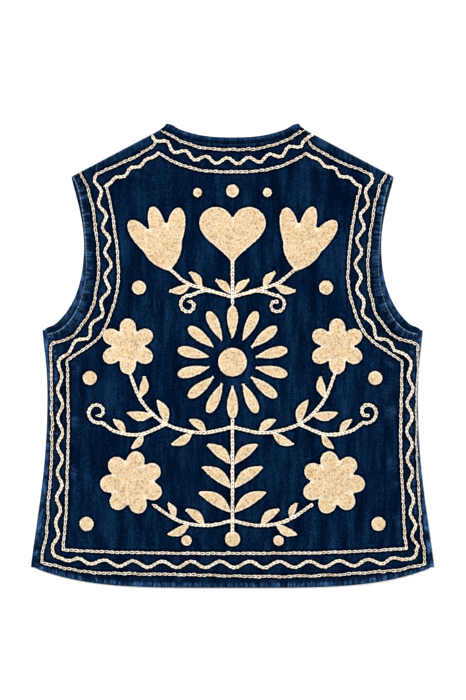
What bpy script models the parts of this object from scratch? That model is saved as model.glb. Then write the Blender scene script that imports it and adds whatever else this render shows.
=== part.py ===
"""Embroidered folk vest laid flat with its back up, modelled as cloth walls.

Frame: metres, +Z up, +Y towards the neck, +X to the right of someone looking down on the back.
The origin is under the middle of the vest's bounding box, on the surface that it lies on.
The back lies on two open fronts, which wrap round the side folds and end a little way onto
the back, as a side seam that sits behind the fold does.
"""

import bmesh
import bpy
from math import asin, cos, hypot, pi, sin

MM = 0.001

# Outline of the vest laid flat
HALF_LENGTH = 292.7 * MM         # from the middle of the box to the hem, and to the neck points
NECK_HALF = 83.4 * MM            # centre line to neck point
BACK_NECK_DROP = 17.6 * MM       # neck point down to the middle of the back neck
BACK_NECK_POWER = 2.5
NECK_RISE = 3.3 * MM             # the binding's ends stand this far above the line of the shoulders
SHOULDER_TOP = HALF_LENGTH - NECK_RISE
SHOULDER_TIP = (203.4 * MM, 226.0 * MM)
UNDERARM = (240.0 * MM, 28.2 * MM)
WAIST = (233.7 * MM, -51.0 * MM)
HEM_CORNER = (254.5 * MM, -265.5 * MM)
HEM_POWER = 4.0                  # how late the hem rises towards its corners
FRONT_HEM_LIFT = 1.5 * MM        # the fronts end this much above the back's hem
FRONT_NECK_DEPTH = 163.0 * MM    # neck point down to where the front neckline meets the front edge
FRONT_NECK_HANDLE = 0.42         # the neckline's handles, as shares of its width and depth
FRONT_NECK_LEAN = 4.2 * MM
FRONT_NECK_SLOPE = 16.0          # of the neckline where it meets the shoulder
FRONT_EDGE_GAP = 4.0 * MM        # between the two front edges, which lie edge to edge

# Handles of the side and armhole curves: length, and lean from the vertical in radians
SIDE_HANDLES = {"underarm": (32.0 * MM, 0.13), "above_waist": 32.0 * MM,
                "below_waist": 87.0 * MM, "hem": (81.0 * MM, 0.13)}
BACK_ARMHOLE = {"deepest": (185.0 * MM, 112.0 * MM), "tip": (20.0 * MM, 0.83),
                "above": 24.0 * MM, "below": 40.0 * MM, "underarm": (28.5 * MM, 1.54)}
FRONT_ARMHOLE = {"deepest": (187.6 * MM, 139.0 * MM), "tip": (14.0 * MM, 0.15),
                 "above": 37.0 * MM, "below": 90.0 * MM, "underarm": (7.5 * MM, 0.30)}

# Cloth
CLOTH = 1.2 * MM                 # one layer of the cloth
HEM_THICK = 2.2 * MM             # the turned and stitched edge
HEM_WIDTH = 8.0 * MM
SEAM_GAP = 0.3 * MM              # between pieces that are sewn together
FAR = 1.0                        # stands for a distance from an edge that isn't near
FRONT_NECK_GAP = 0.5 * MM        # a little more, because the fronts lean in at the shoulder fold
BINDING_WIDTH = 6.5 * MM
BINDING_THICK = 2.0 * MM
BINDING_PROUD = 0.5 * MM         # how far the binding stands above the panel beside it
BINDING_END_GAP = 0.35 * MM      # between the back binding's end and the front one below it

# How the layers lie
FOLD_RADIUS = 2.5 * MM           # outside of the cloth at the side and shoulder folds
SEAM_INSET = 6.5 * MM            # side seam, measured in from the side fold
SHOULDER_GROOVE = 1.8 * MM       # between the outer faces of the two cloths at the shoulder fold
SHOULDER_STEPS = 3
EDGE_TOP = 2 * FOLD_RADIUS       # top of the back along its edges
FIELD_TOP = 3.6 * MM             # top of the back where it has sunk onto the fronts
NECK_TOP = 2.0 * MM              # top of the back where nothing lies under it
SINK_REACH = 60.0 * MM           # from an edge to where the back has sunk
NECK_SINK_REACH = 45.0 * MM      # from the front neckline to where the back lies on the floor
ARMHOLE_LIFT = 2.0 * MM          # the back's edge stands off the front below the armhole
LIFT_REACH = 45.0 * MM
LIFT_SPREAD = 1.6                # the lifted place's radius, as a share of its reach
CLEAR_ENDS = (0.80, 0.92)        # shares of the neck where the binding rises over the front one

# Mesh density
NECK_COLUMNS = 8                 # centre to neck point
SIDE_COLUMNS = 7                 # neck point to side, before the hem's own columns
FOLD_STEPS = 5
SIDE_ROWS = 10                   # hem to underarm, above the hem's own rows
ARMHOLE_ROWS = 9                 # underarm to shoulder
NECK_SHARE = 0.41                # share of the back's columns that end on the neck
FRONT_NECK_SHARE = 0.46
SIDE_PULL = 2.0                  # how fast a panel's columns straighten away from its side
BINDING_PROFILE = (0.0, 0.12, 0.5, 0.88, 1.0)    # shares of the binding's width
BINDING_ARCH = 0.22              # fall of the binding's long edges, as a share of its thickness
BACK_ARM_SHARE = 0.56            # share of the back's rows below the armhole
FRONT_ARM_SHARE = 0.62
INNER_HEM = 1.4                  # the hem's inner row of points, in hem widths from the edge
THICK_HEM = 0.9                  # the wall is thick this far in, in hem widths

CLOTH_COLOUR = (0.0024, 0.0115, 0.0350, 1.0)
BINDING_COLOUR = (0.0060, 0.0215, 0.0580, 1.0)


def mix(a, b, t):
    return a + (b - a) * t


def smooth(t):
    t = min(max(t, 0.0), 1.0)
    return t * t * (3.0 - 2.0 * t)


def bezier(p0, p1, p2, p3, steps=24):
    points = []
    for step in range(steps + 1):
        t = step / steps
        s = 1.0 - t
        weights = (s * s * s, 3 * s * s * t, 3 * s * t * t, t * t * t)
        points.append(tuple(sum(w * p[axis] for w, p in zip(weights, (p0, p1, p2, p3)))
                            for axis in (0, 1)))
    return points


def along(points, share):
    """The point at a share of a polyline's length."""
    lengths = [hypot(b[0] - a[0], b[1] - a[1]) for a, b in zip(points, points[1:])]
    target = min(max(share, 0.0), 1.0) * sum(lengths)
    for (a, b), length in zip(zip(points, points[1:]), lengths):
        if target <= length:
            return (mix(a[0], b[0], target / length), mix(a[1], b[1], target / length))
        target -= length
    return points[-1]


# ---------------------------------------------------------------- outlines (right half)

def side_line():
    """From the hem corner up the side fold to the underarm."""
    (arm_length, arm_lean), (hem_length, hem_lean) = SIDE_HANDLES["underarm"], SIDE_HANDLES["hem"]
    lower = bezier(HEM_CORNER,
                   (HEM_CORNER[0] - hem_length * sin(hem_lean),
                    HEM_CORNER[1] + hem_length * cos(hem_lean)),
                   (WAIST[0], WAIST[1] - SIDE_HANDLES["below_waist"]), WAIST)
    upper = bezier(WAIST, (WAIST[0], WAIST[1] + SIDE_HANDLES["above_waist"]),
                   (UNDERARM[0] - arm_length * sin(arm_lean),
                    UNDERARM[1] - arm_length * cos(arm_lean)), UNDERARM)
    return lower + upper[1:]


def armhole_line(handles, start_x):
    """From the underarm, at start_x, up to the shoulder tip."""
    deep = handles["deepest"]
    arm_length, arm_lean = handles["underarm"]
    tip_length, tip_lean = handles["tip"]
    start = (start_x, UNDERARM[1])
    lower = bezier(start, (start[0] - arm_length * sin(arm_lean),
                           start[1] + arm_length * cos(arm_lean)),
                   (deep[0], deep[1] - handles["below"]), deep)
    upper = bezier(deep, (deep[0], deep[1] + handles["above"]),
                   (SHOULDER_TIP[0] - tip_length * sin(tip_lean),
                    SHOULDER_TIP[1] - tip_length * cos(tip_lean)), SHOULDER_TIP)
    return lower + upper[1:]


def hem_y(x, lift=0.0):
    rise = HEM_CORNER[1] + HALF_LENGTH
    return -HALF_LENGTH + lift + (rise - lift) * (abs(x) / HEM_CORNER[0]) ** HEM_POWER


def shoulder_way():
    """One step along the shoulder fold, from the neck to the tip."""
    run, fall = SHOULDER_TIP[0] - NECK_HALF, SHOULDER_TIP[1] - SHOULDER_TOP
    return run / hypot(run, fall), fall / hypot(run, fall)


def shoulder_distance(x, y):
    """How far a point lies below the shoulder fold."""
    run, fall = shoulder_way()
    return (x - NECK_HALF) * fall - (y - SHOULDER_TOP) * run


def neck_meets_shoulder(offset, edge_slope):
    """Where a line at an offset from a neck edge ends: on the shoulder fold, or above it by
    up to the rise where it lies in the binding."""
    run, fall = shoulder_way()
    distance = offset * hypot(1.0, edge_slope) / abs(run * edge_slope - fall)
    rise = NECK_RISE * max(1.0 - offset / BINDING_WIDTH, 0.0)
    return (NECK_HALF + run * distance, SHOULDER_TOP + fall * distance + rise)


def back_neck_line(offset, steps=24):
    """The back neck, moved in by an offset, from the centre to the shoulder fold."""
    slope = BACK_NECK_POWER * BACK_NECK_DROP / NECK_HALF
    end = neck_meets_shoulder(offset, slope)
    middle = HALF_LENGTH - BACK_NECK_DROP - offset
    points = []
    for step in range(steps + 1):
        share = step / steps
        points.append((end[0] * share, middle + (end[1] - middle) * share ** BACK_NECK_POWER))
    return points


def front_neck_line(offset):
    """The front neckline, moved out by an offset, from the front edge to the shoulder fold."""
    bottom = HALF_LENGTH - FRONT_NECK_DEPTH - offset
    end = neck_meets_shoulder(offset, FRONT_NECK_SLOPE)
    start = (FRONT_EDGE_GAP / 2, bottom)
    return bezier(start, (start[0] + FRONT_NECK_HANDLE * end[0], bottom),
                  (end[0] - FRONT_NECK_LEAN, bottom + FRONT_NECK_HANDLE * FRONT_NECK_DEPTH), end)


def front_neck_half(y):
    """Half the width of the front neckline at a height, or nothing below it."""
    line = front_neck_line(0.0)
    for (x0, y0), (x1, y1) in zip(line, line[1:]):
        if y0 <= y <= y1 and y1 > y0:
            return mix(x0, x1, (y - y0) / (y1 - y0))
    return NECK_HALF if y > HALF_LENGTH else 0.0


# ---------------------------------------------------------------- heights

def shoulder_fold(step):
    """Distance in from the fold line, and height above its middle, of one row of the fold."""
    least = asin(SHOULDER_GROOVE / 2 / FOLD_RADIUS)
    angle = mix(least, pi / 2, step / SHOULDER_STEPS)
    return FOLD_RADIUS * (cos(least) - cos(angle)), FOLD_RADIUS * sin(angle)


def back_top(x, y, from_side, from_armhole):
    """Height of the back's upper face."""
    x = abs(x)
    near = min(from_side, y - hem_y(x), max(shoulder_distance(x, y), 0.0))
    top = mix(EDGE_TOP, FIELD_TOP, smooth(near / SINK_REACH))
    inside = front_neck_half(y) - x
    if inside > 0.0:
        depth = min(inside, y - (HALF_LENGTH - FRONT_NECK_DEPTH))
        depth = min(depth, shoulder_distance(x, y))
        top = mix(top, NECK_TOP, smooth(depth / NECK_SINK_REACH))
    around = hypot(x - UNDERARM[0], y - UNDERARM[1] - LIFT_REACH)
    lift = smooth(1.0 - around / (LIFT_SPREAD * LIFT_REACH))
    lift *= smooth(1.0 - from_armhole / LIFT_REACH)
    return top + ARMHOLE_LIFT * lift


# ---------------------------------------------------------------- cloth patches

def patch(bottom, top, outer, u, v):
    """A point on the straight line from bottom(u) to top(u), drawn in by the outer curve.

    The centre edge stays straight. The outer edge follows outer(v), and the columns inside it
    follow less and less.
    """
    start, end = bottom(u), top(u)
    low, high, edge = bottom(1.0), top(1.0), outer(v)
    return tuple(mix(start[axis], end[axis], v)
                 + (edge[axis] - mix(low[axis], high[axis], v)) * u ** SIDE_PULL
                 for axis in (0, 1))


def joined(first, second, share):
    """One curve out of two polylines, the first taking the given share of it."""
    def curve(t):
        if t <= share:
            return along(first, t / share)
        return along(second, (t - share) / (1.0 - share))
    return curve


def panel_columns(half_width, neck_share):
    hem = HEM_WIDTH / half_width
    neck = [neck_share * column / NECK_COLUMNS for column in range(NECK_COLUMNS)]
    side = [mix(neck_share, 1.0 - INNER_HEM * hem, column / SIDE_COLUMNS)
            for column in range(SIDE_COLUMNS + 1)]
    return neck + side + [1.0 - hem, 1.0]


def panel_rows(arm_share, length):
    hem = HEM_WIDTH / length
    fold = [shoulder_fold(step)[0] / length for step in range(SHOULDER_STEPS, 0, -1)]
    side = [mix(INNER_HEM * hem, arm_share, row / SIDE_ROWS) for row in range(SIDE_ROWS + 1)]
    arm = [mix(arm_share, 1.0 - INNER_HEM * hem, row / ARMHOLE_ROWS)
           for row in range(1, ARMHOLE_ROWS + 1)]
    return [0.0, hem] + side + arm + [1.0 - hem] + [1.0 - share for share in fold] + [1.0]


def cloth_object(name, columns, rows, place, colour, thickness, mirror=False, flip=False,
                 keep=None):
    """A grid shaped by place(column, row), which gives a point and a share of the thickness."""
    sheet = bmesh.new()
    bmesh.ops.create_grid(sheet, x_segments=columns - 1, y_segments=rows - 1, size=1.0)
    spare = []
    weights = sheet.verts.layers.deform.verify()
    for vert in sheet.verts:
        column = round((vert.co.x + 1.0) / 2.0 * (columns - 1))
        row = round((vert.co.y + 1.0) / 2.0 * (rows - 1))
        if keep and not keep(column, row):
            spare.append(vert)
            continue
        point, share = place(column, row)
        vert.co = point
        vert[weights][0] = share
    bmesh.ops.delete(sheet, geom=spare, context="VERTS")
    if flip:
        bmesh.ops.reverse_faces(sheet, faces=sheet.faces)
    mesh = bpy.data.meshes.new(name)
    sheet.to_mesh(mesh)
    sheet.free()
    mesh.shade_smooth()
    piece = bpy.data.objects.new(name, mesh)
    piece.vertex_groups.new(name="thickness")
    vest.objects.link(piece)
    if mirror:
        halves = piece.modifiers.new("Mirror", "MIRROR")
        halves.merge_threshold = 0.0001
    wall = piece.modifiers.new("Solidify", "SOLIDIFY")
    wall.thickness = thickness
    wall.offset = -1.0
    wall.vertex_group = "thickness"
    piece.data.materials.append(cloth_material(name, colour))
    return piece


def cloth_material(name, colour):
    material = bpy.data.materials.new(name + "_cloth")
    material.use_nodes = True
    shader = material.node_tree.nodes["Principled BSDF"]
    shader.inputs["Base Color"].default_value = colour
    shader.inputs["Roughness"].default_value = 0.85
    shader.inputs["Metallic"].default_value = 0.0
    return material


def edge_share(on_fold, *distances):
    """Thickness of the wall as a share of the hem's, from how far the edges are."""
    thick = min(distances) < THICK_HEM * HEM_WIDTH and not on_fold
    return 1.0 if thick else CLOTH / HEM_THICK


def back_panel():
    seam = [(x - SEAM_INSET, y) for x, y in side_line()]
    hem_half = seam[0][0]
    armhole = armhole_line(BACK_ARMHOLE, seam[-1][0])
    neck = back_neck_line(BINDING_WIDTH + SEAM_GAP)
    shoulder = [neck[-1], SHOULDER_TIP]
    hem_corner = (hem_half, hem_y(hem_half))
    seam[0] = hem_corner
    arm_share = BACK_ARM_SHARE
    columns = panel_columns(hem_half, NECK_SHARE)
    rows = panel_rows(arm_share, 2 * HALF_LENGTH)
    top = joined(neck, shoulder, NECK_SHARE)
    outer = joined(seam, armhole, arm_share)

    def bottom(u):
        return (u * hem_half, hem_y(u * hem_half))

    def place(column, row):
        u, v = columns[column], rows[row]
        x, y = patch(bottom, top, outer, u, v)
        width = outer(v)[0]
        from_edge = (1.0 - u) * width
        on_armhole = v >= arm_share
        z = back_top(x, y, from_edge, from_edge if on_armhole else FAR)
        fold_step = len(rows) - 1 - row
        on_fold = fold_step <= SHOULDER_STEPS and column > NECK_COLUMNS
        if on_fold:
            z = FOLD_RADIUS + shoulder_fold(fold_step)[1]
        hem_distance = y - hem_y(x)
        share = edge_share(on_fold, hem_distance, from_edge if on_armhole else FAR)
        return (x, y, z), share

    return cloth_object("back", len(columns), len(rows), place, CLOTH_COLOUR, HEM_THICK,
                        mirror=True)


def front_panel(name, side):
    """side is 1 for the panel at +X and -1 for the one at -X."""
    fold_line = [(x - FOLD_RADIUS, y) for x, y in side_line()]
    hem_half = fold_line[0][0]
    fold_line[0] = (hem_half, hem_y(hem_half, FRONT_HEM_LIFT))
    armhole = armhole_line(FRONT_ARMHOLE, fold_line[-1][0])
    neck = front_neck_line(BINDING_WIDTH + FRONT_NECK_GAP)
    shoulder = [neck[-1], SHOULDER_TIP]
    arm_share = FRONT_ARM_SHARE
    columns = panel_columns(hem_half, FRONT_NECK_SHARE)
    rows = panel_rows(arm_share, neck[0][1] + HALF_LENGTH)
    arm_row = min(range(len(rows)), key=lambda row: abs(rows[row] - arm_share))
    top = joined(neck, shoulder, FRONT_NECK_SHARE)
    outer = joined(fold_line, armhole, arm_share)
    edge_x = FRONT_EDGE_GAP / 2
    strip = SEAM_INSET - FOLD_RADIUS - SEAM_GAP

    def bottom(u):
        x = mix(edge_x, hem_half, u)
        return (x, hem_y(x, FRONT_HEM_LIFT))

    def place(column, row):
        last = len(columns) - 1
        u, v = columns[min(column, last)], rows[row]
        x, y = patch(bottom, top, outer, u, v)
        fold_step = len(rows) - 1 - row
        on_fold = fold_step <= SHOULDER_STEPS and column > NECK_COLUMNS
        z = FOLD_RADIUS - shoulder_fold(fold_step)[1] if on_fold else 0.0
        from_edge = (1.0 - u) * outer(v)[0]
        if column > last:
            step = column - last
            angle = pi * min(step, FOLD_STEPS) / FOLD_STEPS
            x += FOLD_RADIUS * sin(angle)
            z = FOLD_RADIUS * (1.0 - cos(angle))
            if step > FOLD_STEPS:
                x -= strip
        share = edge_share(on_fold, y - hem_y(x, FRONT_HEM_LIFT), x - edge_x,
                           from_edge if v > arm_share + 0.001 else FAR)
        return (side * x, y, z), share

    def keep(column, row):
        return column < len(columns) or row <= arm_row

    return cloth_object(name, len(columns) + FOLD_STEPS + 1, len(rows), place, CLOTH_COLOUR,
                        HEM_THICK, flip=side > 0, keep=keep)


# ---------------------------------------------------------------- neck binding

def arch(share):
    """How far the binding's upper face rounds down towards its two long edges."""
    return BINDING_ARCH * BINDING_THICK * (2.0 * share - 1.0) ** 4


def back_binding():
    outer, inner = back_neck_line(0.0), back_neck_line(BINDING_WIDTH)
    beside = back_neck_line(BINDING_WIDTH + SEAM_GAP)
    rows = [row / NECK_COLUMNS for row in range(-NECK_COLUMNS, NECK_COLUMNS + 1)]
    lowest = 2 * BINDING_THICK + BINDING_END_GAP    # clear of the front binding below its ends

    def place(column, row):
        neck_share, share = abs(rows[row]), BINDING_PROFILE[column]
        a, b = along(outer, neck_share), along(inner, neck_share)
        x, y = mix(a[0], b[0], share), mix(a[1], b[1], share)
        panel = along(beside, neck_share)
        top = back_top(panel[0], panel[1], SINK_REACH, SINK_REACH) + BINDING_PROUD
        near_end = (neck_share - CLEAR_ENDS[0]) / (CLEAR_ENDS[1] - CLEAR_ENDS[0])
        top = mix(top, max(top, lowest), smooth(near_end))
        return (x if row >= NECK_COLUMNS else -x, y, top - arch(share)), 1.0

    return cloth_object("neck_binding_back", len(BINDING_PROFILE), len(rows), place,
                        BINDING_COLOUR, BINDING_THICK)


def front_binding(name, side):
    outer, inner = front_neck_line(0.0), front_neck_line(BINDING_WIDTH)

    def place(column, row):
        share = BINDING_PROFILE[column]
        a, b = along(outer, row / NECK_COLUMNS), along(inner, row / NECK_COLUMNS)
        return (side * mix(a[0], b[0], share), mix(a[1], b[1], share), 0.0), 1.0

    return cloth_object(name, len(BINDING_PROFILE), NECK_COLUMNS + 1, place, BINDING_COLOUR,
                        BINDING_THICK, flip=side > 0)


for old in list(bpy.data.objects):
    bpy.data.objects.remove(old, do_unlink=True)
vest = bpy.data.collections.new("embroidered_folk_vest")
bpy.context.scene.collection.children.link(vest)

back_panel()
back_binding()
for label, direction in (("left", -1), ("right", 1)):
    front_panel("front_" + label, direction)
    front_binding("neck_binding_front_" + label, direction)
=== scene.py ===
import math
import bpy
import numpy as np
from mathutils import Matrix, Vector
from mathutils.kdtree import KDTree


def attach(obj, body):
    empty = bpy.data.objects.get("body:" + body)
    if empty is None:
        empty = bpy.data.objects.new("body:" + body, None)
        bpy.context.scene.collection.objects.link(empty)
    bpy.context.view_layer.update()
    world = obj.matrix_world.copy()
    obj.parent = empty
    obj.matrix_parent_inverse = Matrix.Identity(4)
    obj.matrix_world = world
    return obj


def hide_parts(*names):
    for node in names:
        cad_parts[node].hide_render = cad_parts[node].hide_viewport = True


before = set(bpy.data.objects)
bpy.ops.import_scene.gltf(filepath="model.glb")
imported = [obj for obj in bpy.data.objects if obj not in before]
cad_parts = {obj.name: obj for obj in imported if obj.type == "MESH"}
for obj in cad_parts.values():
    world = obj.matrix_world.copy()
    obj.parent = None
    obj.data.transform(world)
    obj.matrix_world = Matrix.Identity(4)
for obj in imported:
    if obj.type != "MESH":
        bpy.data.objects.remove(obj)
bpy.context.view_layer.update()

# Sizes are in millimetres in the vest's own frame: +Y to the neck, +Z up out of the back.
# Meshes are made in metres, so every length passes through mm on its way into one.
mm = 0.001
random = np.random.default_rng(41)

vest = {
    "halfLength": 292.7, "neckHalf": 83.4, "neckDrop": 17.6, "neckPower": 2.5, "neckRise": 3.3,
    "shoulderTip": (203.4, 226.0), "underarm": (240.0, 28.2), "waist": (233.7, -51.0),
    "hemCorner": (254.5, -265.5), "hemPower": 4.0,
    "frontHemLift": 1.5, "frontNeckDepth": 163.0, "frontGap": 4.0,
    "frontNeckHandle": 0.42, "frontNeckLean": 4.2, "frontNeckSlope": 16.0,
    "cloth": 1.2, "seamInset": 6.5, "seamGap": 0.3, "binding": 6.5, "bindingThick": 2.0,
    "bindingCloth": 0.7,
}
# handles of the side and armhole curves: lengths, and at their ends the lean from the vertical
sideCurve = {"start": (81.0, 0.13), "below": 87.0, "above": 32.0, "end": (32.0, 0.13)}
backArmhole = {"middle": (185.0, 112.0), "start": (28.5, 1.54), "below": 40.0, "above": 24.0,
               "end": (20.0, 0.83)}
frontArmhole = {"middle": (187.6, 139.0), "start": (7.5, 0.30), "below": 90.0, "above": 37.0,
                "end": (14.0, 0.15)}
lie = {
    "foldRadius": 2.5, "edgeTop": 5.0, "fieldTop": 3.6, "neckTop": 2.0, "sinkReach": 60.0,
    "neckSinkReach": 45.0, "armholeLift": 2.0, "liftReach": 45.0, "liftSpread": 1.6,
    "shoulderTurn": 0.8, "shoulderReach": 12.0,
}


def mix(a, b, t):
    return a + (b - a) * t


def smooth(t):
    t = np.clip(t, 0.0, 1.0)
    return t * t * (3.0 - 2.0 * t)


def bump(t):
    # 1 at t = 0, falling smoothly to 0 at t = 1 and -1
    return smooth(1.0 - np.abs(t))


def bezier(p0, p1, p2, p3):
    t = np.linspace(0.0, 1.0, 41)[:, None]
    s = 1.0 - t
    corners = [np.array(p, float) for p in (p0, p1, p2, p3)]
    return (s ** 3 * corners[0] + 3 * s * s * t * corners[1]
            + 3 * s * t * t * corners[2] + t ** 3 * corners[3])


def rotated(a, b, angle):
    return a * np.cos(angle) - b * np.sin(angle), a * np.sin(angle) + b * np.cos(angle)


def arcLengths(line):
    return np.concatenate([[0.0], np.cumsum(np.hypot(*np.diff(line, axis=0).T))])


def along(line, shares):
    lengths = arcLengths(line)
    at = np.clip(shares, 0.0, 1.0) * lengths[-1]
    return np.stack([np.interp(at, lengths, line[:, 0]), np.interp(at, lengths, line[:, 1])], -1)


def spaced(line, pitch):
    count = max(2, int(round(arcLengths(line)[-1] / pitch)) + 1)
    return along(line, np.linspace(0.0, 1.0, count))


def throughPoints(points):
    # a smooth curve through given points
    p = np.array(points, float)
    p = np.vstack([2 * p[0] - p[1], p, 2 * p[-1] - p[-2]])
    t = np.linspace(0.0, 1.0, 10, endpoint=False)[:, None]
    runs = []
    for a, b, c, d in zip(p, p[1:], p[2:], p[3:]):
        runs.append(0.5 * (2 * b + (c - a) * t + (2 * a - 5 * b + 4 * c - d) * t ** 2
                           + (3 * b - a - 3 * c + d) * t ** 3))
    return np.vstack(runs + [p[-2:-1]])


def nearestOn(line, x, y):
    # distance to a line of points, and how far along it the nearest place is
    x, y = np.asarray(x, float), np.asarray(y, float)
    best, where = np.full(x.shape, 1e9), np.zeros(x.shape)
    lengths = arcLengths(line)
    for (ax, ay), (bx, by), start in zip(line, line[1:], lengths):
        dx, dy = bx - ax, by - ay
        length = math.hypot(dx, dy)
        if length < 1e-9:
            continue
        t = np.clip(((x - ax) * dx + (y - ay) * dy) / length ** 2, 0.0, 1.0)
        distance = np.hypot(x - ax - t * dx, y - ay - t * dy)
        closer = distance < best
        best = np.where(closer, distance, best)
        where = np.where(closer, start + t * length, where)
    return best, where


def inside(outline, x, y):
    x, y = np.asarray(x, float), np.asarray(y, float)
    hit = np.zeros(x.shape, bool)
    for (ax, ay), (bx, by) in zip(outline, np.roll(outline, -1, axis=0)):
        if ay == by:
            continue
        crosses = (ay > y) != (by > y)
        hit ^= crosses & (x < ax + (y - ay) * (bx - ax) / (by - ay))
    return hit


def mirrored(line):
    return np.array(line)[::-1] * (-1.0, 1.0)


def offsetLine(line, distance):
    # moved to the left of its direction, by one distance or one for each point
    step = np.gradient(line, axis=0)
    step /= np.hypot(step[:, 0], step[:, 1])[:, None]
    shift = np.broadcast_to(distance, len(line))[:, None]
    return line + shift * np.stack([-step[:, 1], step[:, 0]], -1)


def bothSides(line):
    return [line, mirrored(line)]


def doubleCurve(start, middle, end, handles):
    # two curves that meet upright at the middle
    def handle(point, length, lean=0.0):
        # a length below zero points down
        return point[0] - abs(length) * math.sin(lean), point[1] + length * math.cos(lean)

    length, lean = handles["end"]
    lower = bezier(start, handle(start, *handles["start"]), handle(middle, -handles["below"]), middle)
    upper = bezier(middle, handle(middle, handles["above"]), handle(end, -length, lean), end)
    return np.vstack([lower, upper[1:]])


def armholeLine(handles, startX):
    return doubleCurve((startX, vest["underarm"][1]), handles["middle"], vest["shoulderTip"], handles)


def hemY(x, lift=0.0):
    rise = vest["hemCorner"][1] + vest["halfLength"]
    return (-vest["halfLength"] + lift
            + (rise - lift) * (np.abs(x) / vest["hemCorner"][0]) ** vest["hemPower"])


def shoulderWay():
    # the shoulder fold's line, from where it leaves the neck to its tip
    top = vest["halfLength"] - vest["neckRise"]
    run, fall = vest["shoulderTip"][0] - vest["neckHalf"], vest["shoulderTip"][1] - top
    length = math.hypot(run, fall)
    return run / length, fall / length, top


def belowShoulder(x, y):
    run, fall, top = shoulderWay()
    return (np.abs(x) - vest["neckHalf"]) * fall - (y - top) * run


def neckEnd(offset, slope):
    # a neck line ends on the shoulder fold, or above it where it lies in the binding
    run, fall, top = shoulderWay()
    distance = offset * math.hypot(1.0, slope) / abs(run * slope - fall)
    rise = vest["neckRise"] * max(1.0 - offset / vest["binding"], 0.0)
    return np.array([vest["neckHalf"] + run * distance, top + fall * distance + rise])


def backNeckLine(offset):
    end = neckEnd(offset, vest["neckPower"] * vest["neckDrop"] / vest["neckHalf"])
    middle = vest["halfLength"] - vest["neckDrop"] - offset
    share = np.linspace(0.0, 1.0, 41)
    return np.stack([end[0] * share, middle + (end[1] - middle) * share ** vest["neckPower"]], -1)


def frontNeckLine(offset):
    bottom = vest["halfLength"] - vest["frontNeckDepth"] - offset
    end = neckEnd(offset, vest["frontNeckSlope"])
    start = (vest["frontGap"] / 2, bottom)
    handle = vest["frontNeckHandle"]
    return bezier(start, (start[0] + handle * end[0], bottom),
                  (end[0] - vest["frontNeckLean"], bottom + handle * vest["frontNeckDepth"]), end)


# the right half's outline
side = doubleCurve(vest["hemCorner"], vest["waist"], vest["underarm"], sideCurve)
seam = np.stack([side[:, 0] - vest["seamInset"], side[:, 1]], -1)
seam[0, 1] = hemY(seam[0, 0])
backArm = armholeLine(backArmhole, seam[-1, 0])
frontArm = armholeLine(frontArmhole, side[-1, 0] - lie["foldRadius"])
panelNeck = backNeckLine(vest["binding"] + vest["seamGap"])

# the border's three lines in their order from the edge: a chain, a wave and a chain
outerLine, waveLine, innerLine = 0, 1, 2
border = {
    "hemChain": [(-240.5, -260.5), (-218, -266), (-205, -268.8), (-186, -271.9), (-167, -273.6),
                 (-104, -275.1), (-41, -276.3), (0, -277.6), (47, -278.2), (85, -277.7), (136, -275.7),
                 (174, -272.8), (212, -269.4), (242, -262.2)],
    # above the hem: how far, how late the line rises to its ends, and where it ends
    "hem": {waveLine: (29.6, 4.0, (-213.0, -255.9), (216.0, -255.5)),
            innerLine: (43.5, 2.7, (-213.9, -244.6), (219.2, -242.8))},
    "waveCorners": (((-226.6, -246.5), (-225.3, -250.5), (-221.7, -252.9), (-216.8, -254.9)),
                    ((223.5, -256.4), (228.3, -254.0), (231.4, -250.5), (231.8, -246.5))),
    # below the neck: how far, how late it rises to its ends, and where its right end is
    "neck": {outerLine: (14.9, 2.7, (90.6, 286.2)), waveLine: (29.1, 2.5, (101.0, 278.6)),
             innerLine: (43.0, 2.87, (92.4, 255.8))},
    "neckWave": {"pitch": 28.0, "height": 3.5},
}
# half-widths of the three lines down the side
sideTable = [
    # y, outer chain, wave, inner chain
    (-18, 228.5, 217.8, 208.0), (-50, 228.2, 217.2, 207.5), (-95, 227.6, 217.3, 207.0),
    (-140, 228.7, 217.6, 208.1), (-160, 230.4, 218.0, 208.6), (-180, 231.7, 218.6, 209.1),
    (-214, 233.6, 220.8, 211.1), (-228, 234.8, 222.0, 212.3), (-243, 238.6, 223.2, 213.6),
]
# the three lines round the armhole, from the side up to the shoulder
armLines = {
    "outer": [(229.6, 13.2), (223.3, 16.7), (214.2, 19.0), (204.5, 23.4), (196.3, 30.4), (184.4, 47.0),
              (177.9, 57.8), (174.6, 69.2), (170.8, 88.1), (168.7, 112.0), (169.8, 134.0), (172.4, 160.0),
              (177.3, 191.0), (183.5, 213.0), (192.8, 232.8)],
    "wave": [(197.7, 14.2), (174.2, 38.8), (162.3, 67.9), (157.3, 98.8), (157.1, 130.4), (160.3, 162.0),
             (165.5, 192.3), (168.7, 206.5), (171.5, 229.0)],
    "inner": [(208.9, -6.0), (196.3, 2.3), (187.2, 8.5), (176.3, 16.1), (168.3, 23.7), (161.1, 35.0),
              (155.6, 47.7), (147.5, 72.9), (144.4, 90.6), (143.9, 106.0), (145.8, 136.1),
              (150.4, 171.5), (155.1, 196.7), (159.2, 213.6)],
}
shoulderChain = [(95.6, 271.5), (100.6, 264.6), (119.0, 252.8), (142.0, 242.0)]
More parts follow.
